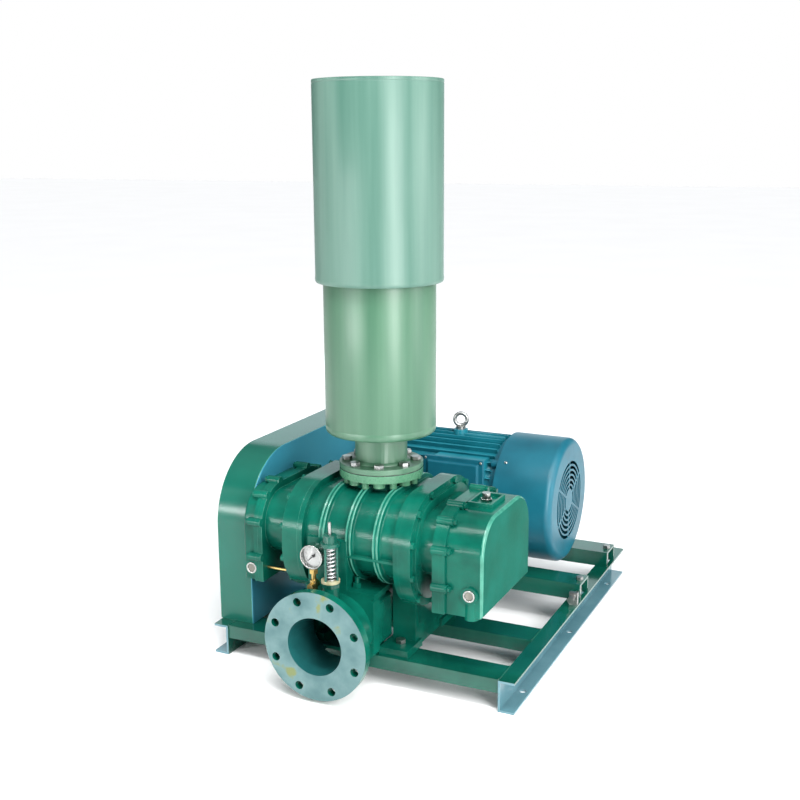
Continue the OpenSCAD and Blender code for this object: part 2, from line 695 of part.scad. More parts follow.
module gear_cover() {
    x0 = gear_face + gear_flange_t;
    color([0.05, 0.42, 0.30]) difference() {
        union() {
            along_x(x0, x0 + 16) sump_oval(cover_r + 8, sump_drop);
            cover_bosses(x0, x0 + cover_boss_l);
            translate([x0, 0, 0]) soft_cover(gear_cover_l, cover_r, sump_drop, 10);
            rod_y(driven_y - cover_r - 7, driven_y, sight_r + 6, gear_sight[0], gear_sight[1]);
            rod_z(axis_z - sump_drop - 8, axis_z - sump_drop * 0.5, sight_r + 3, gear_sight[0], driven_y - cover_r + 14);
            block([gear_cover_x1 - 92, blower_y - 48, axis_z + 40], [gear_cover_x1 - 26, blower_y + 48, axis_z + cover_r + 12]);
        }
        along_x(x0 - 1, gear_inner_x1) {
            oval(cover_r - cover_wall);
            translate([blower_y - half_pitch - cover_r + cover_wall, axis_z - sump_drop + cover_wall])
                square([shaft_pitch + 2 * (cover_r - cover_wall), sump_drop - cover_wall]);
        }
        rod_y(driven_y - cover_r - 8, driven_y - cover_r + 3, sight_r + run, gear_sight[0], gear_sight[1]);
        block([gear_cover_x1 - 86, blower_y - 42, axis_z + cover_r + 4], [gear_cover_x1 - 32, blower_y + 42, axis_z + cover_r + 13]);
        rod_z(axis_z + cover_r - 20, axis_z + cover_r + 14, 10 + run, gear_cover_x1 - 59, blower_y);
        cover_screw_holes(x0 - 1, x0 + cover_boss_l + 1);
    }
}
module drive_end_cover() {
    x0 = drive_face - drive_flange_t;
    color([0.05, 0.42, 0.30]) difference() {
        union() {
            along_x(x0 - 12, x0) sump_oval(cover_r + 8, sump_drop);
            cover_bosses(x0 - cover_boss_l, x0);
            translate([x0, 0, 0]) mirror([1, 0, 0]) soft_cover(drive_cover_l, cover_r, sump_drop, 8);
            rod_y(driven_y - cover_r - 6, driven_y, sight_r + 5, drive_sight[0] + 4, drive_sight[1]);
        }
        along_x(drive_cover_x0 + cover_wall, x0 + 1) {
            oval(cover_r - cover_wall);
            translate([blower_y - half_pitch - cover_r + cover_wall, axis_z - sump_drop + cover_wall])
                square([shaft_pitch + 2 * (cover_r - cover_wall), sump_drop - cover_wall]);
        }
        rod_x(drive_cover_x0 - 1, drive_cover_x0 + cover_wall + 1, shaft_r + 8 + run, drive_y, axis_z);
        rod_y(driven_y - cover_r - 14, driven_y - cover_r + 3, sight_r + run, drive_sight[0] + 4, drive_sight[1]);
        cover_screw_holes(x0 - cover_boss_l - 1, x0 + 1);
    }
}
module casing_bolts() {
    color("silver") for (p = casing_screws) {
        rod_x(drive_plate_x0 + 10 - 3, casing_x0 + 12, 5, p[0], p[1]);
        hex_x(drive_plate_x0 + 10 - 8, drive_plate_x0 + 10, 17, p[0], p[1]);
        rod_x(casing_x1 - 12, gear_plate_x1 - 8 + 3, 5, p[0], p[1]);
        hex_x(gear_plate_x1 - 8, gear_plate_x1, 17, p[0], p[1]);
    }
    color("silver") for (sx = [-1, 1]) for (y = [-86, -30, 30, 86]) {
        rod_z(box_top - 20, box_top + 17, 5, box_x + sx * (box_half + 11), blower_y + y);
        hex_z(box_top - 26, box_top - 18, 16, box_x + sx * (box_half + 11), blower_y + y);
    }
    color("silver") {
        rod_z(plate_z1 - 14, plate_z1 + 28, 6.5, stud_x, stud_y);
        hex_z(plate_z1, plate_z1 + 12, 20, stud_x, stud_y);
    }
}
module cover_bolts() {
    color("silver") for (p = cover_screws) {
        x0 = gear_face + gear_flange_t + cover_boss_l;
        rod_x(gear_face, x0 + 3, 4, p[0], p[1]);
        hex_x(x0, x0 + 8, 14, p[0], p[1]);
        x1 = drive_face - drive_flange_t - cover_boss_l;
        rod_x(x1 - 3, drive_face, 4, p[0], p[1]);
        hex_x(x1 - 8, x1, 14, p[0], p[1]);
    }
}
module foot_bolts() {
    color("silver") for (x = foot_xs) for (y = foot_ys) {
        rod_z(rail_h - steel_t - 16, rail_h + foot_t + 4, foot_bolt_r, x, y);
        hex_z(rail_h + foot_t, rail_h + foot_t + 10, 24, x, y);
        hex_z(rail_h - steel_t - 13, rail_h - steel_t, 24, x, y);
    }
}
module shaft_bearings() {
    color("silver") for (y = [driven_y, drive_y]) {
        bearing(drive_face - drive_flange_t, drive_face + 24, shaft_r + run, rotor_bearing_r, y, axis_z);
        bearing(gear_face - 6, gear_face + gear_flange_t, shaft_r + run, rotor_bearing_r, y, axis_z);
    }
}
module shaft_seals() {
    color("black") for (y = [driven_y, drive_y]) {
        bearing(casing_x0 - 16, casing_x0 - 4, shaft_r + run, seal_r, y, axis_z);
        bearing(casing_x1 + 4, casing_x1 + 16, shaft_r + run, seal_r, y, axis_z);
    }
    color("black") bearing(drive_cover_x0, drive_cover_x0 + cover_wall, shaft_r + run, shaft_r + 8, drive_y, axis_z);
}
module sight_ring(x, z, out) {
    y = driven_y - cover_r - out;
    difference() {
        rod_y(y - 2, y + 8, sight_r, x, z);
        rod_y(y - 3, y + 9, sight_r - 4.5, x, z);
    }
}
module sight_bezels() {
    color("silver") {
        sight_ring(gear_sight[0], gear_sight[1], 7);
        sight_ring(drive_sight[0] + 4, drive_sight[1], 6);
    }
}
module sight_lenses() {
    color("ivory") {
        rod_y(driven_y - cover_r - 7, driven_y - cover_r - 2, sight_r - 4.5, gear_sight[0], gear_sight[1]);
        rod_y(driven_y - cover_r - 6, driven_y - cover_r - 1, sight_r - 4.5, drive_sight[0] + 4, drive_sight[1]);
    }
}
module breather() {
    color("silver") {
        x = gear_cover_x1 - 59;
        z = axis_z + cover_r + 4;
        rod_z(z - 12, z + 2, 10, x, blower_y);
        hex_z(z, z + 7, 27, x, blower_y);
        rod_z(z + 6, z + 22, 11, x, blower_y);
    }
}
// Thin brass pipe from the drive end cover to the side plate
tube_z = axis_z - sump_drop + 34;
module vent_tube() {
    color("goldenrod") {
        rod_x(drive_face, drive_plate_x0, 3.5, driven_y - cover_r + 18, tube_z);
    }
}

// Discharge box under the casing, turning to a round flanged outlet at the front
elbow_z = rail_h + discharge_rise;
elbow_y0 = blower_y - discharge_reach;
hub_r = discharge_bore / 2 + 24.5;
beam_clear = 4;
foot_front_y = foot_ys[0] - 47;
body_y0 = foot_front_y - 42;
body_y1 = blower_y - 94;
body_x0 = blower_x - 122;
body_x1 = blower_x + 72;
elbow_floor = rail_h + beam_clear;
over_foot_z = rail_h + foot_t + beam_clear;
plate_z1 = box_top + 20;
plate_y1 = blower_y - 115;
stud_x = blower_x + 10;
stud_y = body_y0 + 33;
module rounded_rect(x0, x1, z0, z1, r) {
    translate([x0 + r, z0]) square([x1 - x0 - 2 * r, z1 - z0]);
    translate([x0, z0 + r]) square([x1 - x0, z1 - z0 - 2 * r]);
    for (x = [x0 + r, x1 - r]) for (z = [z0 + r, z1 - r]) translate([x, z]) circle(r);
}
module discharge_elbow() {
    y_back = blower_y + 88;
    wall = 9;
    lap = 1;
    color([0.05, 0.42, 0.30]) difference() {
        union() {
            rod_y(elbow_y0, elbow_y0 + flange_t, flange_od / 2, box_x, elbow_z);
            rod_y(elbow_y0 + 1, body_y0 + lap, hub_r, box_x, elbow_z);
            translate([box_x, elbow_y0 + flange_t - 1, elbow_z]) rotate([-90, 0, 0])
                cylinder(h = 7, r1 = hub_r + 7, r2 = hub_r);
            along_y(body_y0, foot_front_y - 5)
                rounded_rect(body_x0, body_x1, elbow_floor, plate_z1 - 12, 14);
            along_y(foot_front_y - 6, body_y1)
                rounded_rect(body_x0, body_x1, over_foot_z, box_top - 8, 10);
            along_y(foot_front_y - 6, y_back)
                rounded_rect(box_x - box_half, box_x + box_half - 10, elbow_floor, box_top - 8, 20);
            block([body_x0, body_y0, plate_z1 - 14], [body_x1 + 4, plate_y1, plate_z1]);
            block([body_x0 + 6, body_y0 + 6, box_top - 20], [body_x1 - 6, plate_y1, plate_z1 - 6]);
            block([box_x - box_half - 19, blower_y - 96, box_top - 18], [box_x + box_half + 19, blower_y + 96, box_top]);
            rod_z(elbow_z + hub_r - 20, valve_z, 22, valve_x, valve_y);
            rod_z(elbow_z + hub_r - 20, elbow_z + hub_r - 3, 12, gauge_x, valve_y);
        }
        rod_y(elbow_y0 - 1, body_y0 + wall + 1, discharge_bore / 2, box_x, elbow_z);
        along_y(body_y0 + wall, foot_front_y - 5 - wall)
            rounded_rect(body_x0 + wall, body_x1 - wall, elbow_floor + wall, box_top - 18, 12);
        along_y(foot_front_y - 15, body_y1 - wall)
            rounded_rect(body_x0 + wall, body_x1 - wall, over_foot_z + wall, box_top - 18, 10);
        along_y(foot_front_y - 15, y_back - wall)
            rounded_rect(box_x - box_half + wall, box_x + box_half - 10 - wall, elbow_floor + wall, box_top - 18, 14);
        block([box_x - box_half + 8, blower_y - 60, box_top - 30], [box_x + box_half - 8, blower_y + 60, box_top + 1]);
        for (i = [0:7]) translate([box_x, 0, elbow_z]) rotate([0, 22.5 + 45 * i, 0])
            rod_y(elbow_y0 - 1, elbow_y0 + flange_t + 8, flange_hole / 2, flange_pcd / 2, 0);
        elbow_screw_holes(box_top - 19, box_top + 1);
        rod_z(plate_z1 - 15, plate_z1 + 1, 6.5 + run, stud_x, stud_y);
        rod_z(elbow_z, valve_z + 1, 12, valve_x, valve_y);
        rod_z(elbow_z, elbow_z + hub_r, 4, gauge_x, valve_y);
    }
}
module elbow_screw_holes(z0, z1) {
    for (sx = [-1, 1]) for (y = [-86, -30, 30, 86])
        rod_z(z0, z1, 5 + run, box_x + sx * (box_half + 11), blower_y + y);
}

// Spring loaded relief valve on the outlet pipe
valve_x = box_x + 6;
valve_y = elbow_y0 + 80;
valve_z = elbow_z + hub_r + 32;
seat_top = valve_z + 18.5;
spring_h = 82;
cap_z = seat_top + spring_h + 6;
module valve_body() {
    color("tan") difference() {
        union() {
            hex_z(valve_z, seat_top - 6, 42, valve_x, valve_y);
            rod_z(seat_top - 7, seat_top, 24, valve_x, valve_y);
            for (a = [0, 100, 260]) rod_z(seat_top - 1, cap_z, 3, valve_x + 19.4 * cos(a), valve_y + 19.4 * sin(a));
        }
        rod_z(valve_z - 1, seat_top + 1, 11, valve_x, valve_y);
    }
}
module valve_stem() {
    color("silver") {
        rod_z(seat_top, seat_top + 4, 15.5, valve_x, valve_y);
        rod_z(seat_top - 12, cap_z + 62, 4, valve_x, valve_y);
    }
}
spring_wire = 3.2;
spring_turns = 7;
// Centre line of the spring: the first and last turn lie flat, and the rest climb evenly
function spring_rise(t) = let (a = 1, b = spring_turns - 1) t < a ? 0 : t > b ? 1 : (t - a) / (b - a);
module valve_spring() {
    z0 = seat_top + 4 + fit + spring_wire / 2;
    z1 = cap_z - fit - spring_wire / 2;
    per_turn = 20;
    sides = 6;
    rings = spring_turns * per_turn;
    r = (spring_d - spring_wire) / 2;
    flat = spring_wire * 1.05;
    points = [for (i = [0:rings]) let (
        t = i / per_turn,
        a = 360 * t,
        z = z0 + flat * min(t, 1) + (z1 - z0 - 2 * flat) * spring_rise(t) + flat * max(0, t - spring_turns + 1))
        for (k = [0:sides - 1]) let (b = 360 * k / sides, q = r + spring_wire / 2 * cos(b))
            [valve_x + q * cos(a), valve_y + q * sin(a), z + spring_wire / 2 * sin(b)]];
    walls = [for (i = [0:rings - 1]) for (k = [0:sides - 1]) let (n = (k + 1) % sides)
        [i * sides + k, (i + 1) * sides + k, (i + 1) * sides + n, i * sides + n]];
    ends = [[for (k = [0:sides - 1]) k], [for (k = [sides - 1:-1:0]) rings * sides + k]];
    color("lightgray") polyhedron(points, concat(walls, ends));
}
module valve_cap() {
    color("darkslategray") difference() {
        union() {
            rod_z(cap_z, cap_z + 10, 24, valve_x, valve_y);
            rod_z(cap_z + 9, cap_z + 30, 17, valve_x, valve_y);
        }
        rod_z(cap_z - 1, cap_z + 31, 4 + run, valve_x, valve_y);
    }
}

gauge_x = box_x - 42;
gauge_z = elbow_z + hub_r + 105.5;
gauge_t = 26;
gauge_y1 = valve_y + gauge_t / 2;
gauge_r = gauge_d / 2;
module gauge_case() {
    color("silver") difference() {
        rod_y(gauge_y1 - gauge_t, gauge_y1, gauge_r, gauge_x, gauge_z);
        rod_y(gauge_y1 - gauge_t - 1, gauge_y1 - 6, gauge_r - 3, gauge_x, gauge_z);
    }
}
module gauge_dial() {
    color("white") difference() {
        rod_y(gauge_y1 - 10, gauge_y1 - 6, gauge_r - 3 - run, gauge_x, gauge_z);
        rod_y(gauge_y1 - 11, gauge_y1 - 7, 1.6 + run, gauge_x, gauge_z);
    }
}
module gauge_pointer() {
    color("black") {
        rod_y(gauge_y1 - 15, gauge_y1 - 7.2, 1.6, gauge_x, gauge_z);
        rod_y(gauge_y1 - 15, gauge_y1 - 12, 4, gauge_x, gauge_z);
        translate([gauge_x, gauge_y1 - 13, gauge_z]) rotate([0, -135, 0]) rotate([90, 0, 0])
            linear_extrude(1.2) polygon([[-1.6, -7], [1.6, -7], [0.5, gauge_r - 8], [-0.5, gauge_r - 8]]);
    }
}
module gauge_glass() {
    color("white", 0.3) rod_y(gauge_y1 - gauge_t + 2, gauge_y1 - gauge_t + 4.5, gauge_r - 3 - run, gauge_x, gauge_z);
}
cock_z = elbow_z + hub_r + 28.5;
cock_foot_z = elbow_z + hub_r - 3;
module gauge_cock() {
    color("goldenrod") difference() {
        union() {
            rod_z(cock_foot_z, gauge_z - gauge_r + 4, 6, gauge_x, valve_y);
            hex_z(cock_foot_z, cock_foot_z + 14, 20, gauge_x, valve_y);
            rod_z(cock_z - 14, cock_z + 14, 10, gauge_x, valve_y);
            hex_z(gauge_z - gauge_r - 14, gauge_z - gauge_r - 3, 20, gauge_x, valve_y);
            rod_y(valve_y - 15, valve_y + 15, 9, gauge_x, cock_z);
        }
        rod_y(valve_y - 16, valve_y + 16, 4 + run, gauge_x, cock_z);
        rod_y(valve_y - 30, valve_y + 30, gauge_r + 0.05, gauge_x, gauge_z);
    }
}
module cock_lever() {
    color("goldenrod") {
        rod_y(valve_y - 22, valve_y + 15, 4, gauge_x, cock_z);
        rod_y(valve_y - 22, valve_y - 16, 8, gauge_x, cock_z);
        block([gauge_x - 4, valve_y - 22, cock_z - 30], [gauge_x + 4, valve_y - 18, cock_z]);
    }
}

// Inlet silencer: neck pipe, shell and hood, with air drawn up between shell and hood
gasket_t = 2;
neck_flange_t = 14;
neck_z0 = inlet_z + gasket_t;
neck_z1 = neck_z0 + neck_flange_t + neck_h;
shell_z0 = neck_z1;
hood_z0 = shell_z0 + shell_h;
hood_z1 = hood_z0 + hood_h;
shell_z1 = hood_z0 + 110;
module inlet_holes(z0, z1) {
    for (i = [0:7]) rotate_about_inlet(22.5 + 45 * i) rod_z(z0, z1, 8 + fit, inlet_pcd / 2, 0);
}
module inlet_gasket() {
    color("dimgray") difference() {
        rod_z(inlet_z, inlet_z + gasket_t, inlet_od / 2 - 2, blower_x, blower_y);
        rod_z(inlet_z - 1, inlet_z + gasket_t + 1, inlet_bore_r, blower_x, blower_y);
        inlet_holes(inlet_z - 1, inlet_z + gasket_t + 1);
    }
}
module inlet_bolts() {
    color("silver") for (i = [0:7]) rotate_about_inlet(22.5 + 45 * i) {
        rod_z(inlet_z - inlet_flange_t - 10, neck_z0 + neck_flange_t + 3, 8, inlet_pcd / 2, 0);
        hex_z(neck_z0 + neck_flange_t, neck_z0 + neck_flange_t + 10, 24, inlet_pcd / 2, 0);
    }
}
module silencer_neck() {
    color([0.45, 0.68, 0.55]) difference() {
        union() {
            rod_z(neck_z0, neck_z0 + neck_flange_t, inlet_od / 2, blower_x, blower_y);
            rod_z(neck_z0, neck_z1, neck_r, blower_x, blower_y);
        }
        rod_z(neck_z0 - 1, neck_z1 + 1, inlet_bore_r, blower_x, blower_y);
        inlet_holes(neck_z0 - 1, neck_z0 + neck_flange_t + 1);
    }
}
module silencer_body() {
    color([0.45, 0.68, 0.55]) translate([blower_x, blower_y, shell_z0]) rotate_extrude() {
        difference() {
            translate([0, shell_z1 - shell_z0]) mirror([0, 1]) disc_section(shell_r, shell_z1 - shell_z0, 6);
            translate([0, shell_z1 - shell_z0 + 1]) mirror([0, 1])
                disc_section(shell_r - sheet_t, shell_z1 - shell_z0 + 1 - sheet_t, 4);
            translate([0, -1]) square([inlet_bore_r, 10]);
        }
    }
    color([0.45, 0.68, 0.55]) for (i = [0:3]) rotate_about_inlet(45 + 90 * i)
        block([shell_r - 1, -3, hood_z0 + 40], [hood_r - sheet_t - 0.1, 3, hood_z0 + 90]);
}
module silencer_hood() {
    color([0.45, 0.68, 0.55]) translate([blower_x, blower_y, hood_z0]) rotate_extrude() {
        difference() {
            disc_section(hood_r, hood_h, 6);
            translate([0, -1]) disc_section(hood_r - sheet_t, hood_h + 1 - sheet_t, 4);
        }
        translate([hood_r - sheet_t - 2.5, 0]) square([3, 8]);
    }
}
module silencer_foam() {
    foam_h = shell_z1 - shell_z0 - 20;
    color("dimgray") translate([blower_x, blower_y, shell_z0 + sheet_t]) rotate_extrude() difference() {
        translate([0, foam_h]) mirror([0, 1]) disc_section(shell_r - sheet_t - fit, foam_h, 5);
        translate([0, -1]) square([inlet_bore_r, foam_h + 2]);
    }
}

// Rotor, shaft and lobes in one piece
module rotor(y, x0, x1, turn) {
    translate([0, y, axis_z]) {
        rod_x(x0, x1, shaft_r, 0, 0);
        rotate([turn, 0, 0]) along_x(blower_x - rotor_l / 2, blower_x + rotor_l / 2) lobe_section();
    }
}
gear_x0 = gear_face + gear_flange_t + 16;
gear_w = 42;
teeth = 30;
gear_module = shaft_pitch / teeth;
module drive_rotor() {
    color("gray") rotor(drive_y, drive_shaft_x0, gear_x0 + gear_w + 12, 30 + 180);
}
module driven_rotor() {
    color("gray") rotor(driven_y, drive_cover_x0 + cover_wall + 6, gear_x0 + gear_w + 12, 30 + 60);
}
// Spur gear outline: each tooth is a trapezoid with flanks close to the involute
module gear_plan(turn) {
    root = pitch_r - 1.25 * gear_module;
    tip = pitch_r + 0.95 * gear_module;
    step = 360 / teeth;
    polygon([for (i = [0:teeth - 1]) for (k = [0:3])
        let (a = turn + i * step + [-0.37, -0.125, 0.125, 0.37][k] * step * (k == 1 || k == 2 ? 1 : 0.98),
             r = [root, tip, tip, root][k])
        [r * cos(a), r * sin(a)]]);
}
module timing_gear(y, turn) {
    translate([0, y, axis_z]) difference() {
        along_x(gear_x0, gear_x0 + gear_w) gear_plan(turn);
        rod_x(gear_x0 - 1, gear_x0 + gear_w + 1, shaft_r + 0.01, 0, 0);
    }
}
module drive_gear() {
    color("gray") timing_gear(drive_y, 180);
}
module driven_gear() {
    color("gray") timing_gear(driven_y, 180 / teeth);
}

// V belts: an arc round each pulley and the two straight runs that touch both
belt_dy = motor_y - drive_y;
belt_dz = motor_z - axis_z;
belt_span = norm([belt_dy, belt_dz]);
belt_tilt = atan2(belt_dz, belt_dy);
belt_turn = acos((blower_pulley_d - motor_pulley_d) / 2 / belt_span);
belt_run = sqrt(pow(belt_span, 2) - pow((blower_pulley_d - motor_pulley_d) / 2, 2));
module belt_section(d) {
    polygon([[d / 2 - 7, -4.9], [d / 2 + 3, -7.4], [d / 2 + 3, 7.4], [d / 2 - 7, 4.9]]);
}
module belt_arc(y, z, d, from, sweep) {
    translate([0, y, z]) rotate([90, 0, 90]) rotate([0, 0, from]) rotate_extrude(angle = sweep) belt_section(d);
}
module belt_straight(side) {
    translate([0, drive_y, axis_z]) rotate([90, 0, 90]) rotate([0, 0, belt_tilt + side * belt_turn])
        translate([0, side > 0 ? 0 : belt_run, 0]) rotate([90, 0, 0])
            linear_extrude(belt_run) belt_section(blower_pulley_d);
}
module drive_belts() {
    color([0.08, 0.08, 0.08]) for (i = [0:belts - 1])
        translate([pulley_x0 + 3 + pulley_pitch * (i + 0.5), 0, 0]) {
            belt_arc(drive_y, axis_z, blower_pulley_d, belt_tilt + belt_turn, 360 - 2 * belt_turn);
            belt_arc(motor_y, motor_z, motor_pulley_d, belt_tilt - belt_turn, 2 * belt_turn);
            belt_straight(1);
            belt_straight(-1);
        }
}

// Belt guard: a folded band between an outer plate and a bolted back plate
guard_t = 3;
guard_y0 = -base_l / 2 + 41;
guard_y1 = motor_y + 170;
guard_top = rail_h + guard_h;
guard_corner = 195;
guard_rear_corner = 150;
guard_step_y = motor_beam_ys[0] - beam_w / 2 - 72;
guard_step_z = rail_h + motor_beam_h + 20;
module guard_outline(inset) {
    r0 = guard_corner - inset;
    r1 = guard_rear_corner - inset;
    translate([guard_y0 + guard_corner, guard_top - guard_corner]) circle(r0);
    translate([guard_y1 - guard_rear_corner, guard_top - guard_rear_corner]) circle(r1);
    translate([guard_y0 + inset, rail_h - (inset > 0 ? 1 : 0)])
        square([guard_step_y - guard_y0 - 2 * inset, guard_top - guard_corner - rail_h + (inset > 0 ? 1 : 0)]);
    translate([guard_y0 + guard_corner, guard_step_z + inset])
        square([guard_y1 - guard_rear_corner - guard_y0 - guard_corner, guard_top - guard_step_z - 2 * inset]);
    translate([guard_y0 + guard_corner, guard_step_z + inset])
        square([guard_y1 - guard_y0 - guard_corner - inset, guard_top - guard_rear_corner - guard_step_z - inset]);
}
module belt_guard() {
    color([0.06, 0.45, 0.36]) {
        along_x(guard_x0, guard_x0 + guard_t) guard_outline(0);
        along_x(guard_x0 + guard_t - 1, guard_x1 - guard_t) difference() {
            guard_outline(0);
            guard_outline(guard_t);
        }
        for (y = [guard_y0 + 60, guard_step_y - 60])
            block([guard_x0 + guard_t - 1, y - 25, rail_h], [guard_x0 + 45, y + 25, rail_h + 4]);
    }
}
module guard_back_plate() {
    color([0.10, 0.36, 0.50]) along_x(guard_x1 - guard_t, guard_x1) difference() {
        guard_outline(0);
        translate([drive_y, axis_z]) circle(48);
        for (y = [0, tension_travel]) translate([motor_y + y, motor_z]) circle(44);
        translate([motor_y, motor_z - 44]) square([tension_travel, 88]);
    }
}

rail_left();
rail_right();
beam_front();
beam_middle();
tension_screws();
motor_beam_front();
motor_beam_rear();
carriage_bolts();
motor_frame();
motor_core();
motor_shield_drive();
motor_shield_rear();
motor_bearings();
fan_cowl();
terminal_box();
terminal_lid();
eyebolt();
motor_foot_bolts();
motor_shaft();
cooling_fan();
motor_pulley();
rotor_casing();
drive_side_plate();
gear_side_plate();
drive_end_cover();
gear_cover();
casing_bolts();
cover_bolts();
foot_bolts();
shaft_bearings();
shaft_seals();
sight_bezels();
sight_lenses();
breather();
vent_tube();
discharge_elbow();
valve_body();
valve_stem();
valve_spring();
valve_cap();
gauge_case();
gauge_dial();
gauge_pointer();
gauge_glass();
gauge_cock();
cock_lever();
inlet_gasket();
inlet_bolts();
silencer_neck();
silencer_body();
silencer_hood();
silencer_foam();
drive_rotor();
driven_rotor();
drive_gear();
driven_gear();
blower_pulley();
drive_belts();
belt_guard();
guard_back_plate();
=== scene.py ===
import json
from math import cos, pi, radians, sin

import bmesh
import bpy
import numpy as np
from mathutils import Matrix, Vector

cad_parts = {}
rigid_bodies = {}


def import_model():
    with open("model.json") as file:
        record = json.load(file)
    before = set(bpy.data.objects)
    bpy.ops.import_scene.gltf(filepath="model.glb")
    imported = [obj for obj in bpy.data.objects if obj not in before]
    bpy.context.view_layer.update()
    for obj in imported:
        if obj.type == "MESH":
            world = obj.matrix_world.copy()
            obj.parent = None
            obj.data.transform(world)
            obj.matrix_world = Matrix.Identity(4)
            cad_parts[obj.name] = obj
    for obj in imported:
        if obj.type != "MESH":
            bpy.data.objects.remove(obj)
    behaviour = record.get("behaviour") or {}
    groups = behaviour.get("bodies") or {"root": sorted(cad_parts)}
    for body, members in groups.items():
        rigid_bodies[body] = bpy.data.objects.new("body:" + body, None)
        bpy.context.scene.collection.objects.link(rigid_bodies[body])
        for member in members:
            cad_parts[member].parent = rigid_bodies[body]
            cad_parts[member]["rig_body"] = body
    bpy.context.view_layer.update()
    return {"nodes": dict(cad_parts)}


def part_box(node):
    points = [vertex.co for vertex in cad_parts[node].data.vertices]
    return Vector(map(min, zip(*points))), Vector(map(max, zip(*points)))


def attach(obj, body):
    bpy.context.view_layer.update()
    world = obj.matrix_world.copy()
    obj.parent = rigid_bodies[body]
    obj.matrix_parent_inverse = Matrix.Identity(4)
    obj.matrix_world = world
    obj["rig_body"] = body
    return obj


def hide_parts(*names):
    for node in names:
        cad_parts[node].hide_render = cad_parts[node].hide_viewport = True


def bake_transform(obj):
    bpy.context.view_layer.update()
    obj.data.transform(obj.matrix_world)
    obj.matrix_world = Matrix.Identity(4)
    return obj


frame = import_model()
cad = frame["nodes"]
mm = 0.001

# Base frame: two channel rails on edge and two flat channels between them, cut from
# hot rolled steel and welded, then sprayed with a glossy dark green enamel. The rails'
# outer sides are painted a lighter greyish blue, a painted reflection of the bright room.


def finish(name, dark, light, rough, blotch=5.0, skin=0.0, skin_size=300.0, metal=0.0,
           coat=0.0, speck=0.04, shine=0.5, stain=None, streak=1.0):
    """A paint or metal: a broad noise drifts the colour from dark to light, and to a stain
    where it is strongest, drawn out upwards where streak is under one; a noise nine times
    finer moves the roughness by speck either way, and a third one lifts the skin of the
    casting or the spray coat by skin mm."""
    made = bpy.data.materials.new(name)
    made.use_nodes = True
    tree = made.node_tree
    shader = tree.nodes["Principled BSDF"]
    place = tree.nodes.new("ShaderNodeTexCoord")
    draw = tree.nodes.new("ShaderNodeMapping")
    draw.inputs["Scale"].default_value = (1, 1, streak)
    broad = tree.nodes.new("ShaderNodeTexNoise")
    broad.inputs["Scale"].default_value = blotch
    broad.inputs["Detail"].default_value = 5.0
    ramp = tree.nodes.new("ShaderNodeValToRGB")
    low_stop, high_stop = ramp.color_ramp.elements
    low_stop.position, low_stop.color = 0.32, (*dark, 1)
    high_stop.position, high_stop.color = 0.68, (*light, 1)
    if stain:
        high_stop.position = 0.60
        ramp.color_ramp.elements.new(0.67).color = (*stain, 1)
    fine = tree.nodes.new("ShaderNodeTexNoise")
    fine.inputs["Scale"].default_value = blotch * 9
    fine.inputs["Detail"].default_value = 3.0
    spread = tree.nodes.new("ShaderNodeMapRange")
    spread.inputs["To Min"].default_value = rough - speck
    spread.inputs["To Max"].default_value = rough + speck
    tree.links.new(place.outputs["Object"], draw.inputs["Vector"])
    tree.links.new(draw.outputs["Vector"], broad.inputs["Vector"])
    tree.links.new(place.outputs["Object"], fine.inputs["Vector"])
    tree.links.new(broad.outputs["Fac"], ramp.inputs["Fac"])
    tree.links.new(ramp.outputs["Color"], shader.inputs["Base Color"])
    tree.links.new(fine.outputs["Fac"], spread.inputs["Value"])
    tree.links.new(spread.outputs["Result"], shader.inputs["Roughness"])
    shader.inputs["Metallic"].default_value = metal
    shader.inputs["Specular IOR Level"].default_value = shine
    shader.inputs["Coat Weight"].default_value = coat
    shader.inputs["Coat Roughness"].default_value = 0.12
    if skin > 0:
        grain = tree.nodes.new("ShaderNodeTexNoise")
        grain.inputs["Scale"].default_value = skin_size
        grain.inputs["Detail"].default_value = 4.0
        lift = tree.nodes.new("ShaderNodeBump")
        lift.inputs["Strength"].default_value = 0.5
        lift.inputs["Distance"].default_value = skin * mm
        tree.links.new(place.outputs["Object"], grain.inputs["Vector"])
        tree.links.new(grain.outputs["Fac"], lift.inputs["Height"])
        tree.links.new(lift.outputs["Normal"], shader.inputs["Normal"])
    return made


def rolled(node, look, edge, segments=2, edge_highlight=None):
    """Copy of a CAD piece with its points merged and its flat faces joined, every sharp edge
    rolled over by a small radius in mm, the rolled faces in the edge highlight look if one is
    given, a painted highlight, standing for that piece on its own body."""
    merge_gap, flat_within, sharp_from = 0.02 * mm, radians(0.6), radians(35)
    shape = bmesh.new()
    shape.from_mesh(cad[node].data)
    bmesh.ops.remove_doubles(shape, verts=shape.verts, dist=merge_gap)
    bmesh.ops.dissolve_limit(shape, angle_limit=flat_within, verts=shape.verts,
                             edges=shape.edges)
    mesh = bpy.data.meshes.new(node + "_made")
    shape.to_mesh(mesh)
    shape.free()
    mesh.shade_smooth()
    mesh.set_sharp_from_angle(angle=sharp_from)
    mesh.materials.clear()
    mesh.materials.append(look)
    if edge_highlight:
        mesh.materials.append(edge_highlight)
    piece = bpy.data.objects.new(mesh.name, mesh)
    bpy.context.scene.collection.objects.link(piece)
    if edge > 0:
        roll = piece.modifiers.new("rolled edge", "BEVEL")
        roll.width = edge * mm
        roll.segments = segments
        roll.limit_method = "ANGLE"
        roll.angle_limit = sharp_from
        roll.harden_normals = True
        # The rolled faces take the painted edge highlight when one is given.
        roll.material = 1 if edge_highlight else -1
    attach(piece, cad[node]["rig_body"])
    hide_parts(node)
    return piece


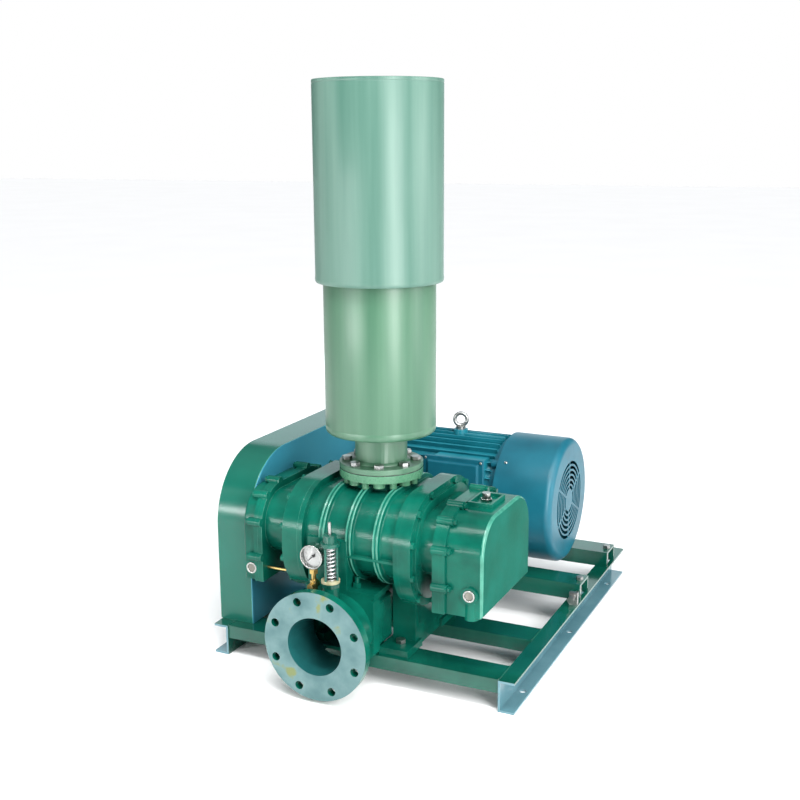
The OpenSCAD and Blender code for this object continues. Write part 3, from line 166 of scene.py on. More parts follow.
def second_look(piece, look, chosen):
    """A second finish on the faces that chosen picks from arrays of their middles, in mm,
    and their normals."""
    mesh = piece.data
    mesh.materials.append(look)
    middles, normals = np.zeros(len(mesh.polygons) * 3), np.zeros(len(mesh.polygons) * 3)
    mesh.polygons.foreach_get("center", middles)
    mesh.polygons.foreach_get("normal", normals)
    index = np.zeros(len(mesh.polygons), int)
    mesh.polygons.foreach_get("material_index", index)
    picked = chosen(middles.reshape(-1, 3) / mm, normals.reshape(-1, 3))
    index[picked] = len(mesh.materials) - 1
    mesh.polygons.foreach_set("material_index", index)


def extent(node):
    """Lowest and highest corner of a CAD piece's box, in mm, to the thousandth."""
    return np.round(np.array(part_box(node)) / mm, 3)


frame_paint = finish("frame enamel", (0.001, 0.044, 0.029), (0.003, 0.080, 0.054), 0.15,
                     blotch=7, skin=0.25, skin_size=160, coat=0.3, shine=0.4)
# Painted reflection: a lighter greyish blue for the rails' outer web and lower flange.
rail_painted_reflection = finish("frame enamel, painted reflection", (0.052, 0.140, 0.168), (0.100, 0.205, 0.240),
                    0.22, blotch=6, skin=0.3, skin_size=160, coat=0.3, shine=0.6)
rail_low, rail_high = extent("rail_right")
rail_inner, rail_top, flange_steel = rail_low[0], rail_high[2], 7
for part, side in (("rail_left", -1), ("rail_right", 1)):
    rail = rolled(part, frame_paint, 2.0, segments=3)
    second_look(rail, rail_painted_reflection, lambda m, n: (m[:, 0] * side > rail_inner)
                & (m[:, 2] < rail_top - flange_steel) & (n[:, 2] > -0.5))
for part in ("beam_front", "beam_middle"):
    rolled(part, frame_paint, 2.0, segments=3)


def woven(points, wrap_rows, wrap_columns):
    """Corner points and quads of one or more grids: points has the shape (pieces, rows,
    columns, 3), each point is joined to its neighbours, and a wrapped side is joined back
    to its start."""
    pieces, rows, columns, _ = points.shape
    down = np.arange(rows if wrap_rows else rows - 1)
    across = np.arange(columns if wrap_columns else columns - 1)
    i, j = np.meshgrid(down, across, indexing="ij")
    i2, j2 = (i + 1) % rows, (j + 1) % columns
    quad = np.stack([i * columns + j, i2 * columns + j, i2 * columns + j2, i * columns + j2], -1)
    start = np.arange(pieces)[:, None, None] * rows * columns
    return points.reshape(-1, 3), (quad.reshape(1, -1, 4) + start).reshape(-1, 4)


def formed(name, points, look, body="base", wrap_rows=False, limit=40.0, replaces=()):
    """Puts grids of points, in metres, each closed across, into one piece: equal points are
    merged, which closes poles and seams, the faces are turned outwards, and edges sharper
    than the limit stay crisp."""
    points = np.asarray(points, float)
    if points.ndim == 3:
        points = points[None]
    corners, quads = woven(points, wrap_rows, True)
    mesh = bpy.data.meshes.new(name)
    mesh.from_pydata(corners.tolist(), [], quads.tolist())
    shape = bmesh.new()
    shape.from_mesh(mesh)
    bmesh.ops.remove_doubles(shape, verts=shape.verts, dist=1e-6)
    bmesh.ops.recalc_face_normals(shape, faces=shape.faces)
    shape.to_mesh(mesh)
    shape.free()
    mesh.shade_smooth()
    mesh.set_sharp_from_angle(angle=radians(limit))
    mesh.materials.append(look)
    piece = bpy.data.objects.new(name, mesh)
    bpy.context.scene.collection.objects.link(piece)
    if body:
        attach(piece, body)
    if replaces:
        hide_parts(*replaces)
    return piece


def weld(ends, radius=2.6, pitch=3.2, steps=9):
    """Weld beads: along each straight seam, in mm, a round bead whose radius rises and falls
    once a pitch, as the pool froze, and closes to a point at both ends."""
    ripple, rows_per_pitch, off_axis = 0.14, 4, [0.31, 0.52, 0.79]
    ends = np.asarray(ends, float) * mm
    start, stop = ends[:, 0], ends[:, 1]
    length = np.linalg.norm(stop - start, axis=1).max()
    t = np.linspace(0, 1, int(length / (pitch * mm) * rows_per_pitch) + 2)
    run = (stop - start) / np.linalg.norm(stop - start, axis=1)[:, None]
    side = np.cross(run, off_axis)
    side /= np.linalg.norm(side, axis=1)[:, None]
    up = np.cross(run, side)
    swell = radius * mm * (1 - ripple + ripple * np.cos(2 * pi * t * length / (pitch * mm)))
    swell[0] = swell[-1] = 0
    angle = np.linspace(0, 2 * pi, steps, endpoint=False)
    ring = (side[:, None, None] * np.cos(angle)[:, None]
            + up[:, None, None] * np.sin(angle)[:, None])
    middle = start[:, None, None] + (stop - start)[:, None, None] * t[:, None, None]
    return middle + ring * swell[:, None, None]


beams = [extent(part) for part in ("beam_front", "beam_middle")]
beam_under, stop_short = beams[0][0][2], 8
upright = [[(s * rail_inner, y, beam_under), (s * rail_inner, y, rail_top - stop_short)]
           for s in (-1, 1) for low, high in beams for y in (low[1], high[1])]
along = [[(s * rail_inner, low[1], rail_top), (s * rail_inner, high[1], rail_top)]
         for s in (-1, 1) for low, high in beams]
formed("frame_welds", weld(upright), frame_paint)
formed("frame_welds_top", weld(along, 2.0), frame_paint)

# Tension screws: zinc plated bolts in lugs welded to the rails. Turning them pushes the
# motor beams back, and a nut locks each one.

zinc = finish("zinc plate", (0.26, 0.27, 0.27), (0.44, 0.44, 0.42), 0.34, blotch=60,
              metal=1.0, speck=0.1)
rolled("tension_screws", zinc, 0.7)

# Motor carriage: two flat channels across the rails, which slide back to tighten the
# belts, painted with the base; zinc plated bolts hold them down through slots in the rails.

for part in ("motor_beam_front", "motor_beam_rear"):
    rolled(part, frame_paint, 2.0, segments=3)
rolled("carriage_bolts", zinc, 0.8)

# Motor: a finned cast iron frame between two end shields, with a cast terminal box and a
# pressed steel cowl over the fan, all sprayed teal blue; the fins are painted a little
# lighter, painted light against the shade between them. The cowl and the terminal lid are
# held by plated screws.

motor_paint = finish("motor enamel", (0.004, 0.082, 0.120), (0.008, 0.122, 0.172), 0.36,
                     blotch=8, skin=0.3, skin_size=240, shine=0.35)
# Painted light: a lighter blue on the fins, lifting them against the shade between them.
painted_light_fin_paint = finish("motor enamel, painted light on the fins", (0.004, 0.125, 0.165),
                   (0.010, 0.175, 0.225), 0.36, blotch=8, skin=0.3, skin_size=240, shine=0.35)
rolled("motor_frame", painted_light_fin_paint, 1.2)
rolled("motor_shield_drive", motor_paint, 2.0)
rolled("motor_shield_rear", motor_paint, 2.0)
rolled("fan_cowl", motor_paint, 0.8)
rolled("terminal_box", motor_paint, 2.0)
rolled("terminal_lid", motor_paint, 3.0, segments=3)
rolled("eyebolt", zinc, 0.6)


def bars(spans, width, depth, corner=0.5, lay=(0, 0, 1)):
    """Square bars: each span, in mm, is swept by a rectangle with cut corners, width across
    and depth along lay, and both ends are closed by drawing the last ring in to its middle."""
    spans = np.asarray(spans, float) * mm
    start, stop = spans[:, 0], spans[:, 1]
    run = (stop - start) / np.linalg.norm(stop - start, axis=1)[:, None]
    lay = np.broadcast_to(np.asarray(lay, float), run.shape)
    side = np.cross(lay, run)
    side /= np.linalg.norm(side, axis=1)[:, None]
    rise = np.cross(run, side)
    w, d, c = width * mm / 2, depth * mm / 2, corner * mm
    ring = np.array([(w, c - d), (w, d - c), (w - c, d), (c - w, d),
                     (-w, d - c), (-w, c - d), (c - w, -d), (w - c, -d)])
    drawn_in = 1 - c / max(w, d)
    shrink = np.array([0, drawn_in, 1, 1, drawn_in, 0])
    along = np.array([0, 0, c, -c, 0, 0])
    base = np.where(np.arange(6)[:, None, None] < 3, start, stop) + along[:, None, None] * run
    base = base.transpose(1, 0, 2)[:, :, None, :]
    cross = ring[:, 0, None] * side[:, None, None] + ring[:, 1, None] * rise[:, None, None]
    return base + cross * shrink[:, None, None]


AXES = {"x": (1, 2, 0), "y": (2, 0, 1), "z": (0, 1, 2)}


def turned(profile, axis, centres, steps=96):
    """Lathe work: every (radius, height) pair of the profile, in mm, goes once round the axis
    through each centre, so a point is centre plus radius times cosine and sine, plus height
    along the axis."""
    profile = np.asarray(profile, float) * mm
    centres = np.atleast_2d(np.asarray(centres, float)) * mm
    angle = np.linspace(0, 2 * pi, steps, endpoint=False)
    a, b, c = AXES[axis]
    points = np.zeros((len(centres), len(profile), steps, 3))
    points[..., a] = profile[:, 0, None] * np.cos(angle)
    points[..., b] = profile[:, 0, None] * np.sin(angle)
    points[..., c] = profile[:, 1, None]
    return points + centres[:, None, None, :]


cowl_radius, screw_x, head_inside, head_outside, head_width = 187, 176, 1, 3.4, 8.6
cowl_low, cowl_high = extent("fan_cowl")
motor_y, motor_z = (cowl_low[1] + cowl_high[1]) / 2, cowl_low[2] + cowl_radius
diagonals = [(cos(radians(45 + 90 * i)), sin(radians(45 + 90 * i))) for i in range(4)]
formed("cowl_screws",
       bars([((screw_x, motor_y + (cowl_radius - head_inside) * c,
               motor_z + (cowl_radius - head_inside) * v),
              (screw_x, motor_y + (cowl_radius + head_outside) * c,
               motor_z + (cowl_radius + head_outside) * v)) for c, v in diagonals],
            head_width, head_width, 2.4, (1, 0, 0)), zinc)
lid_low, lid_high = extent("terminal_lid")
lid_flange, lid_inset = 10, 8
pan_head = [(0, -3.3), (2.2, -3.1), (3.7, -2.1), (4.3, -0.6), (4.3, 0.6), (0, 0.6)]
formed("lid_screws",
       turned(pan_head, "y", [(x, lid_low[1] + lid_flange, z)
                              for x in (lid_low[0] + lid_inset, lid_high[0] - lid_inset)
                              for z in (lid_low[2] + lid_inset, lid_high[2] - lid_inset)], 24),
       zinc)
rolled("motor_foot_bolts", zinc, 0.8)

# Inside of the motor: a laminated core with its windings, a steel shaft and rotor in ball
# bearings, and a moulded black cooling fan on the shaft's end.

black_plastic = finish("black plastic", (0.012, 0.012, 0.013), (0.022, 0.022, 0.024), 0.42,
                       blotch=30)
laminate = finish("core laminations", (0.10, 0.09, 0.08), (0.17, 0.15, 0.13), 0.55,
                  blotch=50, metal=0.6)
dark_steel = finish("bare steel", (0.16, 0.16, 0.165), (0.26, 0.26, 0.27), 0.36, blotch=40,
                    metal=1.0)
rolled("motor_core", laminate, 0)
rolled("motor_bearings", zinc, 0.5)
rolled("motor_shaft", dark_steel, 0.8)
rolled("cooling_fan", black_plastic, 0.8)

# Blower: an iron casing with cast ribs, bolted between two side plates, all sprayed deep
# green over the casting skin, which stays visible as a fine orange peel under the gloss.
# The rolled edges and the rib crests are painted a lighter green, a painted highlight, and
# the inlet flange and the bosses under it are a paler yellow green.

blower_paint = finish("blower enamel", (0.001, 0.050, 0.034), (0.002, 0.108, 0.072), 0.22,
                      blotch=9, skin=0.5, skin_size=170, speck=0.06, shine=0.20)
# Painted highlight: a lighter green for rolled edges and rib crests, standing for the light they
# catch.
painted_edge_highlight = finish("blower enamel, painted edge highlight", (0.022, 0.150, 0.104),
                    (0.046, 0.220, 0.160), 0.22, blotch=40, shine=0.5)
casing = rolled("rotor_casing", blower_paint, 2.0, segments=3,
                edge_highlight=painted_edge_highlight)
flange_paint = finish("inlet flange enamel", (0.036, 0.140, 0.074), (0.070, 0.195, 0.112),
                      0.28, blotch=12, skin=0.4, skin_size=170, shine=0.4)
inlet_x, inlet_y, _ = extent("silencer_hood").mean(axis=0)
boss_under, flange_under, flange_bore, flange_reach = 501, 519, 76, 145


def on_inlet_flange(m, n):
    """Faces of the round flange and of the bosses under it, by their reach from its middle."""
    reach = np.hypot(m[:, 0] - inlet_x, m[:, 1] - inlet_y)
    return ((m[:, 2] > boss_under) & (reach > flange_bore) & (reach < flange_reach)
            & ((n[:, 2] < 0.3) | (m[:, 2] > flange_under)))


second_look(casing, flange_paint, on_inlet_flange)
drive_y, driven_y, axis_z, casing_radius = -272, -422, 380, 112.35


def around_oval(profile, centres, steps=72):
    """Cast ribs: a closed profile of (distance along the shaft, height over the casing)
    pairs, in mm, is carried round the casing's oval, half a circle about each shaft with
    the flats between them."""
    profile = np.asarray(profile, float)
    quarter = pi / 2
    angle = np.concatenate([np.linspace(-quarter, quarter, steps),
                            np.linspace(quarter, 3 * quarter, steps)])
    hub = np.repeat([drive_y, driven_y], steps)
    radius = casing_radius + profile[:, 1]
    points = np.zeros((len(centres), len(angle), len(profile), 3))
    points[..., 0] = np.asarray(centres)[:, None, None] + profile[:, 0]
    points[..., 1] = hub[:, None] + np.cos(angle)[:, None] * radius
    points[..., 2] = axis_z + np.sin(angle)[:, None] * radius
    return points * mm


rib_pitch, bead_from = 76, 10.9
half_rib = [(-12.5, -1), (-12.3, 0.3), (-10.4, 0.9), (-9.2, 2.4), (-8.6, 5), (-8.5, 8.4),
            (-8.1, 10.4), (-7.1, 11.7), (-5.5, 12.3), (-3.9, 11.9), (-2.5, 10.9), (-1.2, 10.3)]
rib_profile = half_rib + [(-x, height) for x, height in half_rib[::-1]]
ribs = formed("casing_ribs",
              around_oval(rib_profile, [inlet_x + i * rib_pitch for i in (-1, 0, 1)]),
              blower_paint, wrap_rows=True, limit=60)
# Painted highlight on the crests of the rib beads.
second_look(ribs, painted_edge_highlight, lambda m, n: np.hypot(
    np.maximum(0, np.maximum(m[:, 1] - drive_y, driven_y - m[:, 1])),
    m[:, 2] - axis_z) > casing_radius + bead_from)
rolled("drive_side_plate", blower_paint, 2.2, segments=3, edge_highlight=painted_edge_highlight)
rolled("gear_side_plate", blower_paint, 2.2, segments=3, edge_highlight=painted_edge_highlight)
gear_cover = rolled("gear_cover", blower_paint, 3.2, segments=3,
                    edge_highlight=painted_edge_highlight)
flat_paint = finish("blower enamel, rough cast end", (0.001, 0.070, 0.046),
                    (0.002, 0.096, 0.068), 0.55, blotch=9, skin=0.5, skin_size=170,
                    shine=0.05)
cover_end, rim_depth = extent("gear_cover")[1][0], 8
second_look(gear_cover, flat_paint, lambda m, n: n[:, 0] > 0.9)
# Painted highlight along the rounded rim of the cover's end.
second_look(gear_cover, painted_edge_highlight, lambda m, n: (m[:, 0] > cover_end - rim_depth)
            & (n[:, 0] > 0.2) & (n[:, 0] < 0.9))
rolled("drive_end_cover", blower_paint, 2.2, segments=3, edge_highlight=painted_edge_highlight)
rolled("casing_bolts", blower_paint, 0.6)
rolled("cover_bolts", blower_paint, 0.6)
rolled("foot_bolts", zinc, 0.8)

# Small fittings of the blower: ball and roller bearings and rubber seals on the shafts,
# nickel plated sight glasses and a breather for the oil, and a bent brass vent tube.

rubber = finish("seal rubber", (0.012, 0.012, 0.012), (0.024, 0.024, 0.024), 0.6, blotch=40)
nickel = finish("nickel plate", (0.30, 0.31, 0.30), (0.42, 0.43, 0.41), 0.22, blotch=50,
                metal=1.0)
brass = finish("brass", (0.44, 0.31, 0.10), (0.58, 0.44, 0.18), 0.30, blotch=60, metal=1.0)
oil_glass = finish("sight glass over oil", (0.090, 0.085, 0.065), (0.200, 0.195, 0.165),
                   0.08, blotch=30, shine=0.8)
rolled("shaft_bearings", zinc, 0.5)
rolled("shaft_seals", rubber, 0.4)
rolled("sight_bezels", nickel, 0.8)
rolled("sight_lenses", oil_glass, 0.8)
rolled("breather", nickel, 0.8)
rolled("vent_tube", brass, 0.3)

# Rotors and timing gears: two three lobed rotors of ground iron, which turn with a running
# gap of a third of a millimetre, kept in step by a pair of hardened gears.

iron = finish("ground iron", (0.20, 0.20, 0.20), (0.30, 0.30, 0.29), 0.30, blotch=25,
              metal=1.0)
for part in ("drive_rotor", "driven_rotor", "drive_gear", "driven_gear"):
    rolled(part, iron, 0)

# Discharge elbow: one iron casting, flat on top under the casing, with a drilled round
# flange. The face of the flange is machined and left in stained grey primer.

# Its rolled edges take the painted edge highlight.
elbow = rolled("discharge_elbow", blower_paint, 3.0, segments=3,
               edge_highlight=painted_edge_highlight)
elbow_box = extent("discharge_elbow")
primer = finish("grey primer", (0.046, 0.112, 0.116), (0.096, 0.176, 0.178), 0.38,
                blotch=19, skin=0.25, skin_size=240, speck=0.1, shine=0.4,
                stain=(0.130, 0.160, 0.060))
bore_look = finish("oiled bore", (0.006, 0.060, 0.062), (0.012, 0.095, 0.095), 0.30,
                   blotch=12, skin=0.8, skin_size=90)
(outlet_x, _, outlet_z), face_y = elbow_box.mean(axis=0), elbow_box[0][1]
face_depth, bore_reach, bore_end, turned_in = 10, 80, -470, -20


def in_bore(m, n):
    """Faces of the outlet's bore: near its middle line and turned towards it."""
    x, z = m[:, 0] - outlet_x, m[:, 2] - outlet_z
    return ((np.hypot(x, z) < bore_reach) & (abs(n[:, 1]) < 0.3)
            & (x * n[:, 0] + z * n[:, 2] < turned_in) & (m[:, 1] < bore_end))


second_look(elbow, primer, lambda m, n: (m[:, 1] < face_y + face_depth) & (n[:, 1] < -0.5))
second_look(elbow, bore_look, in_bore)

# Relief valve: a turned body with three posts and a tan disc at its foot, painted over with
# the blower but for the disc, a plated stem and spring inside the posts, and a dark cap.

tan_paint = finish("valve paint", (0.26, 0.25, 0.14), (0.38, 0.36, 0.23), 0.35, blotch=30)
cap_paint = finish("valve cap paint", (0.002, 0.050, 0.034), (0.006, 0.085, 0.060), 0.28,
                   blotch=30, shine=0.4)
spring_steel = finish("plated spring wire", (0.50, 0.52, 0.53), (0.66, 0.67, 0.67), 0.30,
                      blotch=60, metal=0.8)
valve_x, valve_y, disc_under, disc_top, seat_reach = -30, -590, 297.4, 303.6, 15
body = rolled("valve_body", tan_paint, 0.8)
second_look(body, cap_paint, lambda m, n: ((m[:, 2] > disc_top) | (m[:, 2] < disc_under))
            & (np.hypot(m[:, 0] - valve_x, m[:, 1] - valve_y) > seat_reach)
            & (abs(n[:, 2]) < 0.9))
rolled("valve_stem", zinc, 0.5)


def coil(centre, low, high, mean, wire, turns, per_turn=48, sides=14):
    """A compression spring: the wire's circle is carried along a helix whose first and last
    turn lie nearly flat, and whose turns between climb evenly."""
    t = np.linspace(0, turns, turns * per_turn + 1)
    flat = wire * 1.05
    climb = np.clip((t - 1) / (turns - 2), 0, 1)
    z = (low + flat * np.minimum(t, 1) + (high - low - 2 * flat) * climb
         + flat * np.maximum(0, t - turns + 1))
    around = np.linspace(0, 2 * pi, sides, endpoint=False)
    size = np.full(len(t), wire / 2)
    size[[0, -1]] = 0
    reach = mean / 2 + size[:, None] * np.cos(around)
    turn = (2 * pi * t)[:, None]
    points = np.stack([centre[0] + reach * np.cos(turn), centre[1] + reach * np.sin(turn),
                       z[:, None] + size[:, None] * np.sin(around)], -1)
    return points * mm


spring_foot, spring_top, coil_mean, coil_wire, coil_turns = 309.6, 389.4, 26.9, 4.1, 9
spring = formed("coil_spring", coil((valve_x, valve_y), spring_foot, spring_top, coil_mean,
                                    coil_wire, coil_turns), spring_steel,
                body=None, replaces=("valve_spring",))
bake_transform(spring)
rolled("valve_cap", cap_paint, 1.0)

# Pressure gauge: a pressed steel case with a printed white dial, a black pointer and a
# clear glass, screwed on a turned brass cock with a lever.

dial_white = finish("dial face", (0.64, 0.65, 0.64), (0.68, 0.69, 0.68), 0.5)
pointer_black = finish("pointer lacquer", (0.010, 0.010, 0.010), (0.014, 0.014, 0.014), 0.4)
rolled("gauge_case", nickel, 0.8)
rolled("gauge_dial", dial_white, 0)
rolled("gauge_pointer", pointer_black, 0)
dial_low, dial_high = extent("gauge_dial")
(dial_x, _, dial_z), print_y = (dial_low + dial_high) / 2, dial_low[1] - 0.1
first_mark, sweep, divisions, mark_reach = 225, 270, 50, 25
marks = [radians(first_mark - sweep * i / divisions) for i in range(divisions + 1)]
for part, picked, inner, wide in (("dial_long_marks", marks[::5], 19.5, 0.7),
                                  ("dial_short_marks", marks, 22.5, 0.35)):
    lines = [((dial_x + inner * cos(a), print_y, dial_z + inner * sin(a)),
              (dial_x + mark_reach * cos(a), print_y, dial_z + mark_reach * sin(a)))
             for a in picked]
    formed(part, bars(lines, wide, 0.16, 0.03, (0, 1, 0)), pointer_black)
rolled("gauge_cock", brass, 0.7)
rolled("cock_lever", brass, 0.8)
clear = bpy.data.materials.new("clear glass")
clear.use_nodes = True
clear_shader = clear.node_tree.nodes["Principled BSDF"]
clear_shader.inputs["Base Color"].default_value = (1, 1, 1, 1)
clear_shader.inputs["Roughness"].default_value = 0.03
clear_shader.inputs["Transmission Weight"].default_value = 1.0
clear_shader.inputs["IOR"].default_value = 1.2
rolled("gauge_glass", clear, 0.3)

# Inlet silencer: a pipe neck on a bolted flange, a rolled sheet shell and a wider hood over
# it, lined with foam. The sheet is thin steel, its lips rolled and its seams welded, and
# the satin sage paint shows upright streaks from the spray.

sage = finish("silencer satin", (0.050, 0.126, 0.096), (0.106, 0.192, 0.156), 0.38,
              blotch=17, skin=0.08, skin_size=420, shine=0.42, streak=0.04)
shell_sage = finish("silencer satin, lower shell", (0.032, 0.104, 0.058),
                    (0.070, 0.158, 0.098), 0.36, blotch=17, skin=0.08, skin_size=420,
                    shine=0.55, streak=0.04)
gasket_look = finish("gasket board", (0.05, 0.055, 0.05), (0.09, 0.095, 0.085), 0.8,
                     blotch=60)
foam = finish("sound foam", (0.015, 0.015, 0.016), (0.04, 0.04, 0.042), 0.95, blotch=200,
              skin=1.2, skin_size=700)
rolled("inlet_gasket", gasket_look, 0.3)
rolled("inlet_bolts", zinc, 0.8)
rolled("silencer_neck", shell_sage, 1.2)
rolled("silencer_foam", foam, 0)

hood_r, hood_waist = 163, 1280
hood_foot, hood_top = extent("silencer_hood")[:, 2]
hood = [(0, hood_top - 1.6), (60, hood_top - 1.8), (120, hood_top - 2.6),
        (150, hood_top - 3.8), (155.5, hood_top - 4.1), (158, hood_top - 3.2),
        (159.4, hood_top - 1.2), (161, hood_top - 0.1), (162.5, hood_top - 0.8),
        (hood_r, hood_top - 2.6), (hood_r, hood_top - 7.4), (hood_r - 0.7, hood_top - 9),
        (hood_r, hood_top - 10.6), (hood_r, hood_waist), (hood_r, hood_foot + 15),
        (hood_r + 0.5, hood_foot + 12), (hood_r + 0.8, hood_foot + 8.5),
        (hood_r + 0.2, hood_foot + 4.5), (hood_r - 1.1, hood_foot + 0.8),
        (hood_r - 2.4, hood_foot), (hood_r - 3.4, hood_foot + 1.4),
        (hood_r - 3.6, hood_foot + 6), (hood_r - 2, hood_foot + 11),
        (hood_r - 2, hood_waist), (hood_r - 2, hood_top - 8), (150, hood_top - 6),
        (60, hood_top - 4), (0, hood_top - 3.8)]
formed("hood_shell", turned(hood, "z", [(inlet_x, inlet_y, 0)], 224), sage,
       replaces=("silencer_hood",))

shell_r, pipe_r = 144, 68.7
shell_foot, shell_top = extent("silencer_body")[:, 2]
shell = [(pipe_r, shell_foot + 0.1), (110, shell_foot + 0.2), (134, shell_foot + 0.6),
         (shell_r - 4.5, shell_foot + 2.2), (shell_r - 1.4, shell_foot + 5.2),
         (shell_r, shell_foot + 10), (shell_r, shell_foot + 20),
         (shell_r - 0.5, shell_foot + 21.4), (shell_r, shell_foot + 22.8),
         (shell_r, shell_top - 2), (shell_r - 1, shell_top), (shell_r - 2, shell_top - 2),
         (shell_r - 2, shell_foot + 15), (shell_r - 3.5, shell_foot + 7),
         (136, shell_foot + 3.2), (110, shell_foot + 2.4), (pipe_r, shell_foot + 2.4)]
formed("lower_shell", turned(shell, "z", [(inlet_x, inlet_y, 0)], 192), shell_sage,
       wrap_rows=True, replaces=("silencer_body",))

bracket_z, bracket_wide, bracket_tall = 1091, 6, 50
formed("hood_spiders",
       bars([((inlet_x + (shell_r - 0.5) * c, inlet_y + (shell_r - 0.5) * s, bracket_z),
              (inlet_x + (hood_r - 1.8) * c, inlet_y + (hood_r - 1.8) * s, bracket_z))
             for c, s in diagonals], bracket_wide, bracket_tall, 1), sage)
neck_weld = [(68.4, shell_foot - 6), (70.5, shell_foot - 5.6), (72.4, shell_foot - 3.6),
             (73, shell_foot - 1.6), (73, shell_foot + 0.4), (68.4, shell_foot + 0.4)]
flange_top = 555.5
flange_weld = [(68.3, flange_top), (76, flange_top), (75.6, flange_top + 1.9),
               (73.4, flange_top + 4.1), (70.6, flange_top + 7.1), (68.3, flange_top + 7.9)]
for part, fillet in (("neck_weld", neck_weld), ("flange_weld", flange_weld)):
    formed(part, turned(fillet, "z", [(inlet_x, inlet_y, 0)]), shell_sage,
           wrap_rows=True)
for part, look, reach, top, foot in (
        ("shell_seam", shell_sage, 101.8, hood_foot, shell_foot + 15),
        ("hood_seam", sage, 115.2, hood_top - 12, hood_foot + 16)):
    seam = [(inlet_x - reach, inlet_y + reach, z) for z in (top, foot)]
    formed(part, weld([seam], 1.6, 2.4), look)

# Belt drive: two grooved iron pulleys and four narrow rubber V belts, notched underneath,
# made as fixed loops round both pulleys.

pulley_iron = finish("pulley iron", (0.06, 0.06, 0.062), (0.10, 0.10, 0.10), 0.42,
                     blotch=30, metal=0.7)
belt_rubber = finish("belt rubber", (0.014, 0.014, 0.014), (0.028, 0.028, 0.028), 0.62,
                     blotch=30)
rolled("blower_pulley", pulley_iron, 0.8)
rolled("motor_pulley", pulley_iron, 0.8)


def belt_loops(centre_1, r1, centre_2, r2, xs):
    """Closed V belts round two pulleys: arc, tangent, arc, tangent in the YZ plane, carrying
    a trapezoid whose underside is notched by a cosine of the distance travelled."""
    notch_depth, notch_pitch, straight_steps = 0.9, 9, 218
    (y1, z1), (y2, z2) = centre_1, centre_2
    span, tilt = np.hypot(y2 - y1, z2 - z1), np.arctan2(z2 - z1, y2 - y1)
    meet = np.arccos((r1 - r2) / span)
    big = np.linspace(tilt + meet, tilt + 2 * pi - meet, 180)
    small = np.linspace(tilt - meet, tilt + meet, 120)
    arc_1 = np.stack([y1 + r1 * np.cos(big), z1 + r1 * np.sin(big)], 1)
    arc_2 = np.stack([y2 + r2 * np.cos(small), z2 + r2 * np.sin(small)], 1)
    t = np.linspace(0, 1, straight_steps + 2)[1:-1, None]
    path = np.concatenate([arc_1, arc_1[-1] + t * (arc_2[0] - arc_1[-1]), arc_2,
                           arc_2[-1] + t * (arc_1[0] - arc_2[-1])])
    angle = np.concatenate([big, np.full(straight_steps, tilt - meet), small,
                            np.full(straight_steps, tilt + meet)])
    out = np.stack([np.cos(angle), np.sin(angle)], 1)
    travel = np.cumsum(np.r_[0, np.linalg.norm(np.diff(path, axis=0), axis=1)])
    notch = notch_depth * (1 + np.cos(2 * pi * travel / notch_pitch))
    depth = np.array([-7, -7, -3, 2.2, 3, 3, 3, 2.2, -3, -7.0])
    width = np.array([-4.6, 4.6, 5.8, 7.2, 6.4, 0, -6.4, -7.2, -5.8, -4.6])
    d = depth + np.where(depth < -6, 1.0, 0.0) * notch[:, None]
    points = np.zeros((len(xs), len(path), len(depth), 3))
    points[..., 0] = np.asarray(xs)[:, None, None] + width
    points[..., 1] = path[:, 0, None] + out[:, 0, None] * d
    points[..., 2] = path[:, 1, None] + out[:, 1, None] * d
    return points * mm


pulley_x, groove_pitch, blower_pulley_r, motor_pulley_r = -387.5, 19, 125, 100
belt_x = [pulley_x + groove_pitch * (i - 1.5) for i in range(4)]
belts = formed("v_belts", belt_loops((drive_y, axis_z), blower_pulley_r,
                                     (motor_y, motor_z), motor_pulley_r, belt_x),
               belt_rubber, body=None, wrap_rows=True,
               replaces=("drive_belts",))
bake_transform(belts)

# Belt guard: a box of folded sheet steel on the left rail, open underneath, sprayed green
# outside, its rolled edges in the painted edge highlight. The flat plate that closes its back
# is painted blue teal, a painted reflection, made light as painted light against its shade.

guard_paint = finish("guard enamel", (0.002, 0.082, 0.056), (0.004, 0.106, 0.075), 0.22,
                     blotch=5, skin=0.2, skin_size=180, shine=0.4)
# Painted reflection: a bright blue teal on the back plate, lifted as painted light against the
# shade between guard and casing.
guard_plate_painted_reflection = finish("guard back plate, painted reflection", (0.026, 0.190, 0.270), (0.048, 0.255, 0.340), 0.30,
                    blotch=2.5, shine=0.4)
rolled("belt_guard", guard_paint, 1.5, segments=3, edge_highlight=painted_edge_highlight)
rolled("guard_back_plate", guard_plate_painted_reflection, 0.8)

# Floor and lights: a white studio floor, long soft boxes round the object and one broad
# overall light from the right. None of it belongs to the object.

floor_look = finish("studio floor", (0.92, 0.92, 0.92), (0.94, 0.94, 0.94), 0.9, blotch=1)
bpy.ops.mesh.primitive_plane_add(size=60, location=(0, 0, 0))
floor = bpy.context.object
floor.name = "studio_floor"
floor.data.materials.append(floor_look)


def softbox(name, spot, aim, power, wide, tall, tint=(1, 1, 1)):
    """A rectangular area light at spot, turned to face aim."""
    lamp = bpy.data.lights.new(name, "AREA")
    lamp.shape = "RECTANGLE"
    lamp.energy, lamp.size, lamp.size_y, lamp.color = power, wide, tall, tint
    holder = bpy.data.objects.new(name, lamp)
    bpy.context.scene.collection.objects.link(holder)
    holder.location = spot
    holder.rotation_euler = (Vector(aim) - Vector(spot)).to_track_quat("-Z", "Y").to_euler()


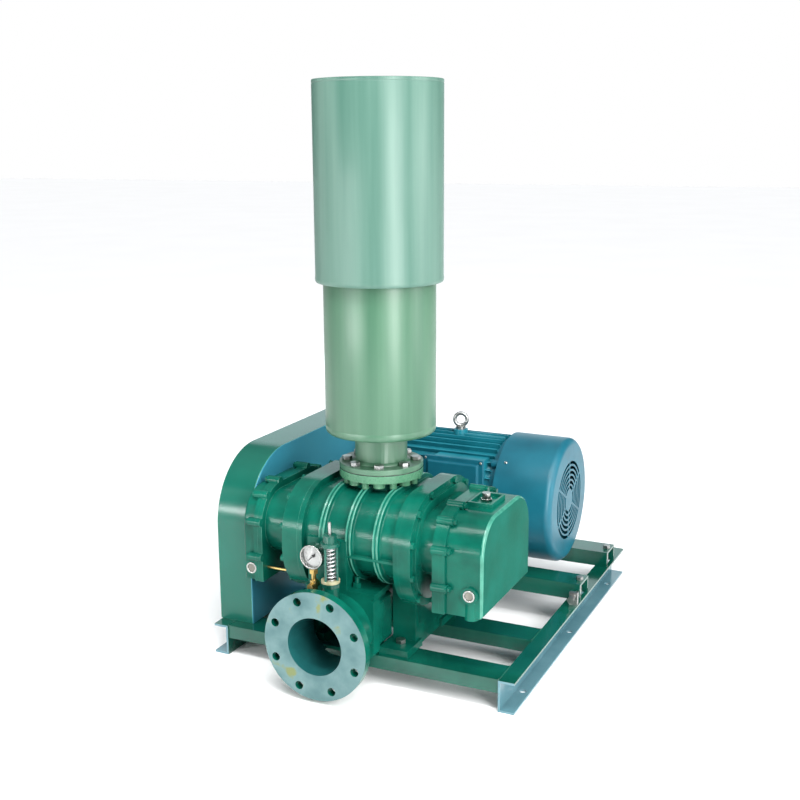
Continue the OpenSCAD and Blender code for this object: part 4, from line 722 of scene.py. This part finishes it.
middle = (0, -0.3, 0.7)
softbox("strip light, right", (2.6, -2.2, 1.3), middle, 105, 1.0, 2.4)
softbox("side light, right", (3.3, 0.5, 1.2), middle, 46, 1.6, 2.2)
softbox("strip light, left", (-2.3, -2.4, 1.2), middle, 8, 0.5, 2.2)
softbox("low front light", (-1.35, -3.3, 0.78), (-0.05, -0.4, 0.5), 56, 1.9, 0.34)
softbox("top light", (0.0, -1.6, 3.4), (0, -0.3, 0.3), 70, 2.4, 0.35)
softbox("back light", (-1.6, 3.6, 1.5), (0, -0.2, 0.5), 28, 3.0, 2.6, (0.8, 0.95, 1.0))
sky = bpy.data.lights.new("overall light", "SUN")
sky.energy, sky.angle = 3.0, radians(50)
sky_holder = bpy.data.objects.new("overall light", sky)
bpy.context.scene.collection.objects.link(sky_holder)
sky_from = Vector((0.58, -0.34, 0.74))
sky_holder.rotation_euler = sky_from.to_track_quat("Z", "Y").to_euler()

# Room: a ramp of grey from floor to ceiling, dim at eye height, lights the object from all
# round, while the camera itself sees plain white behind the floor.

world = bpy.data.worlds.new("studio")
bpy.context.scene.world = world
world.use_nodes = True
tree = world.node_tree
direction = tree.nodes.new("ShaderNodeTexCoord")
split = tree.nodes.new("ShaderNodeSeparateXYZ")
walls = tree.nodes.new("ShaderNodeValToRGB")
stops = walls.color_ramp.elements
stops[0].position, stops[0].color = 0.0, (0.24, 0.25, 0.26, 1)
stops[1].position, stops[1].color = 1.0, (0.80, 0.82, 0.85, 1)
for height, level in ((0.05, 0.26), (0.35, 0.10), (0.62, 0.20)):
    stop = stops.new(height)
    stop.color = (level, level * 1.04, level * 1.08, 1)
shown = tree.nodes.new("ShaderNodeBackground")
shown.inputs["Color"].default_value = (1, 1, 1, 1)
view = tree.nodes.new("ShaderNodeLightPath")
choose = tree.nodes.new("ShaderNodeMixShader")
room = tree.nodes["Background"]
room.inputs["Strength"].default_value = 1.0
tree.links.new(direction.outputs["Generated"], split.inputs["Vector"])
tree.links.new(split.outputs["Z"], walls.inputs["Fac"])
tree.links.new(walls.outputs["Color"], room.inputs["Color"])
tree.links.new(view.outputs["Is Camera Ray"], choose.inputs["Fac"])
tree.links.new(room.outputs["Background"], choose.inputs[1])
tree.links.new(shown.outputs["Background"], choose.inputs[2])
tree.links.new(choose.outputs["Shader"], tree.nodes["World Output"].inputs["Surface"])
bpy.context.scene.view_settings.view_transform = "Standard"

# Camera: it stands where the photo was taken from, turned and tipped the same way, with
# the focal length that was fitted to the photo.

turn, tip, roll = radians(25.261), radians(12.809), radians(-0.343)
stand = (1.29054, -2.97551, 1.38133)
picture_wide, focal_pixels = 800, 1155.92
back = np.array([sin(turn) * cos(tip), -cos(turn) * cos(tip), sin(tip)])
right = np.array([cos(turn), sin(turn), 0.0])
up = np.cross(back, right)
axes = np.stack([cos(roll) * right + sin(roll) * up,
                 -sin(roll) * right + cos(roll) * up, back], 1)
lens = bpy.data.cameras.new("studio camera")
lens.sensor_width = 36.0
lens.lens = lens.sensor_width * focal_pixels / picture_wide
camera = bpy.data.objects.new("studio camera", lens)
bpy.context.scene.collection.objects.link(camera)
camera.matrix_world = Matrix.Translation(stand) @ Matrix(axes.tolist()).to_4x4()
bpy.context.scene.camera = camera
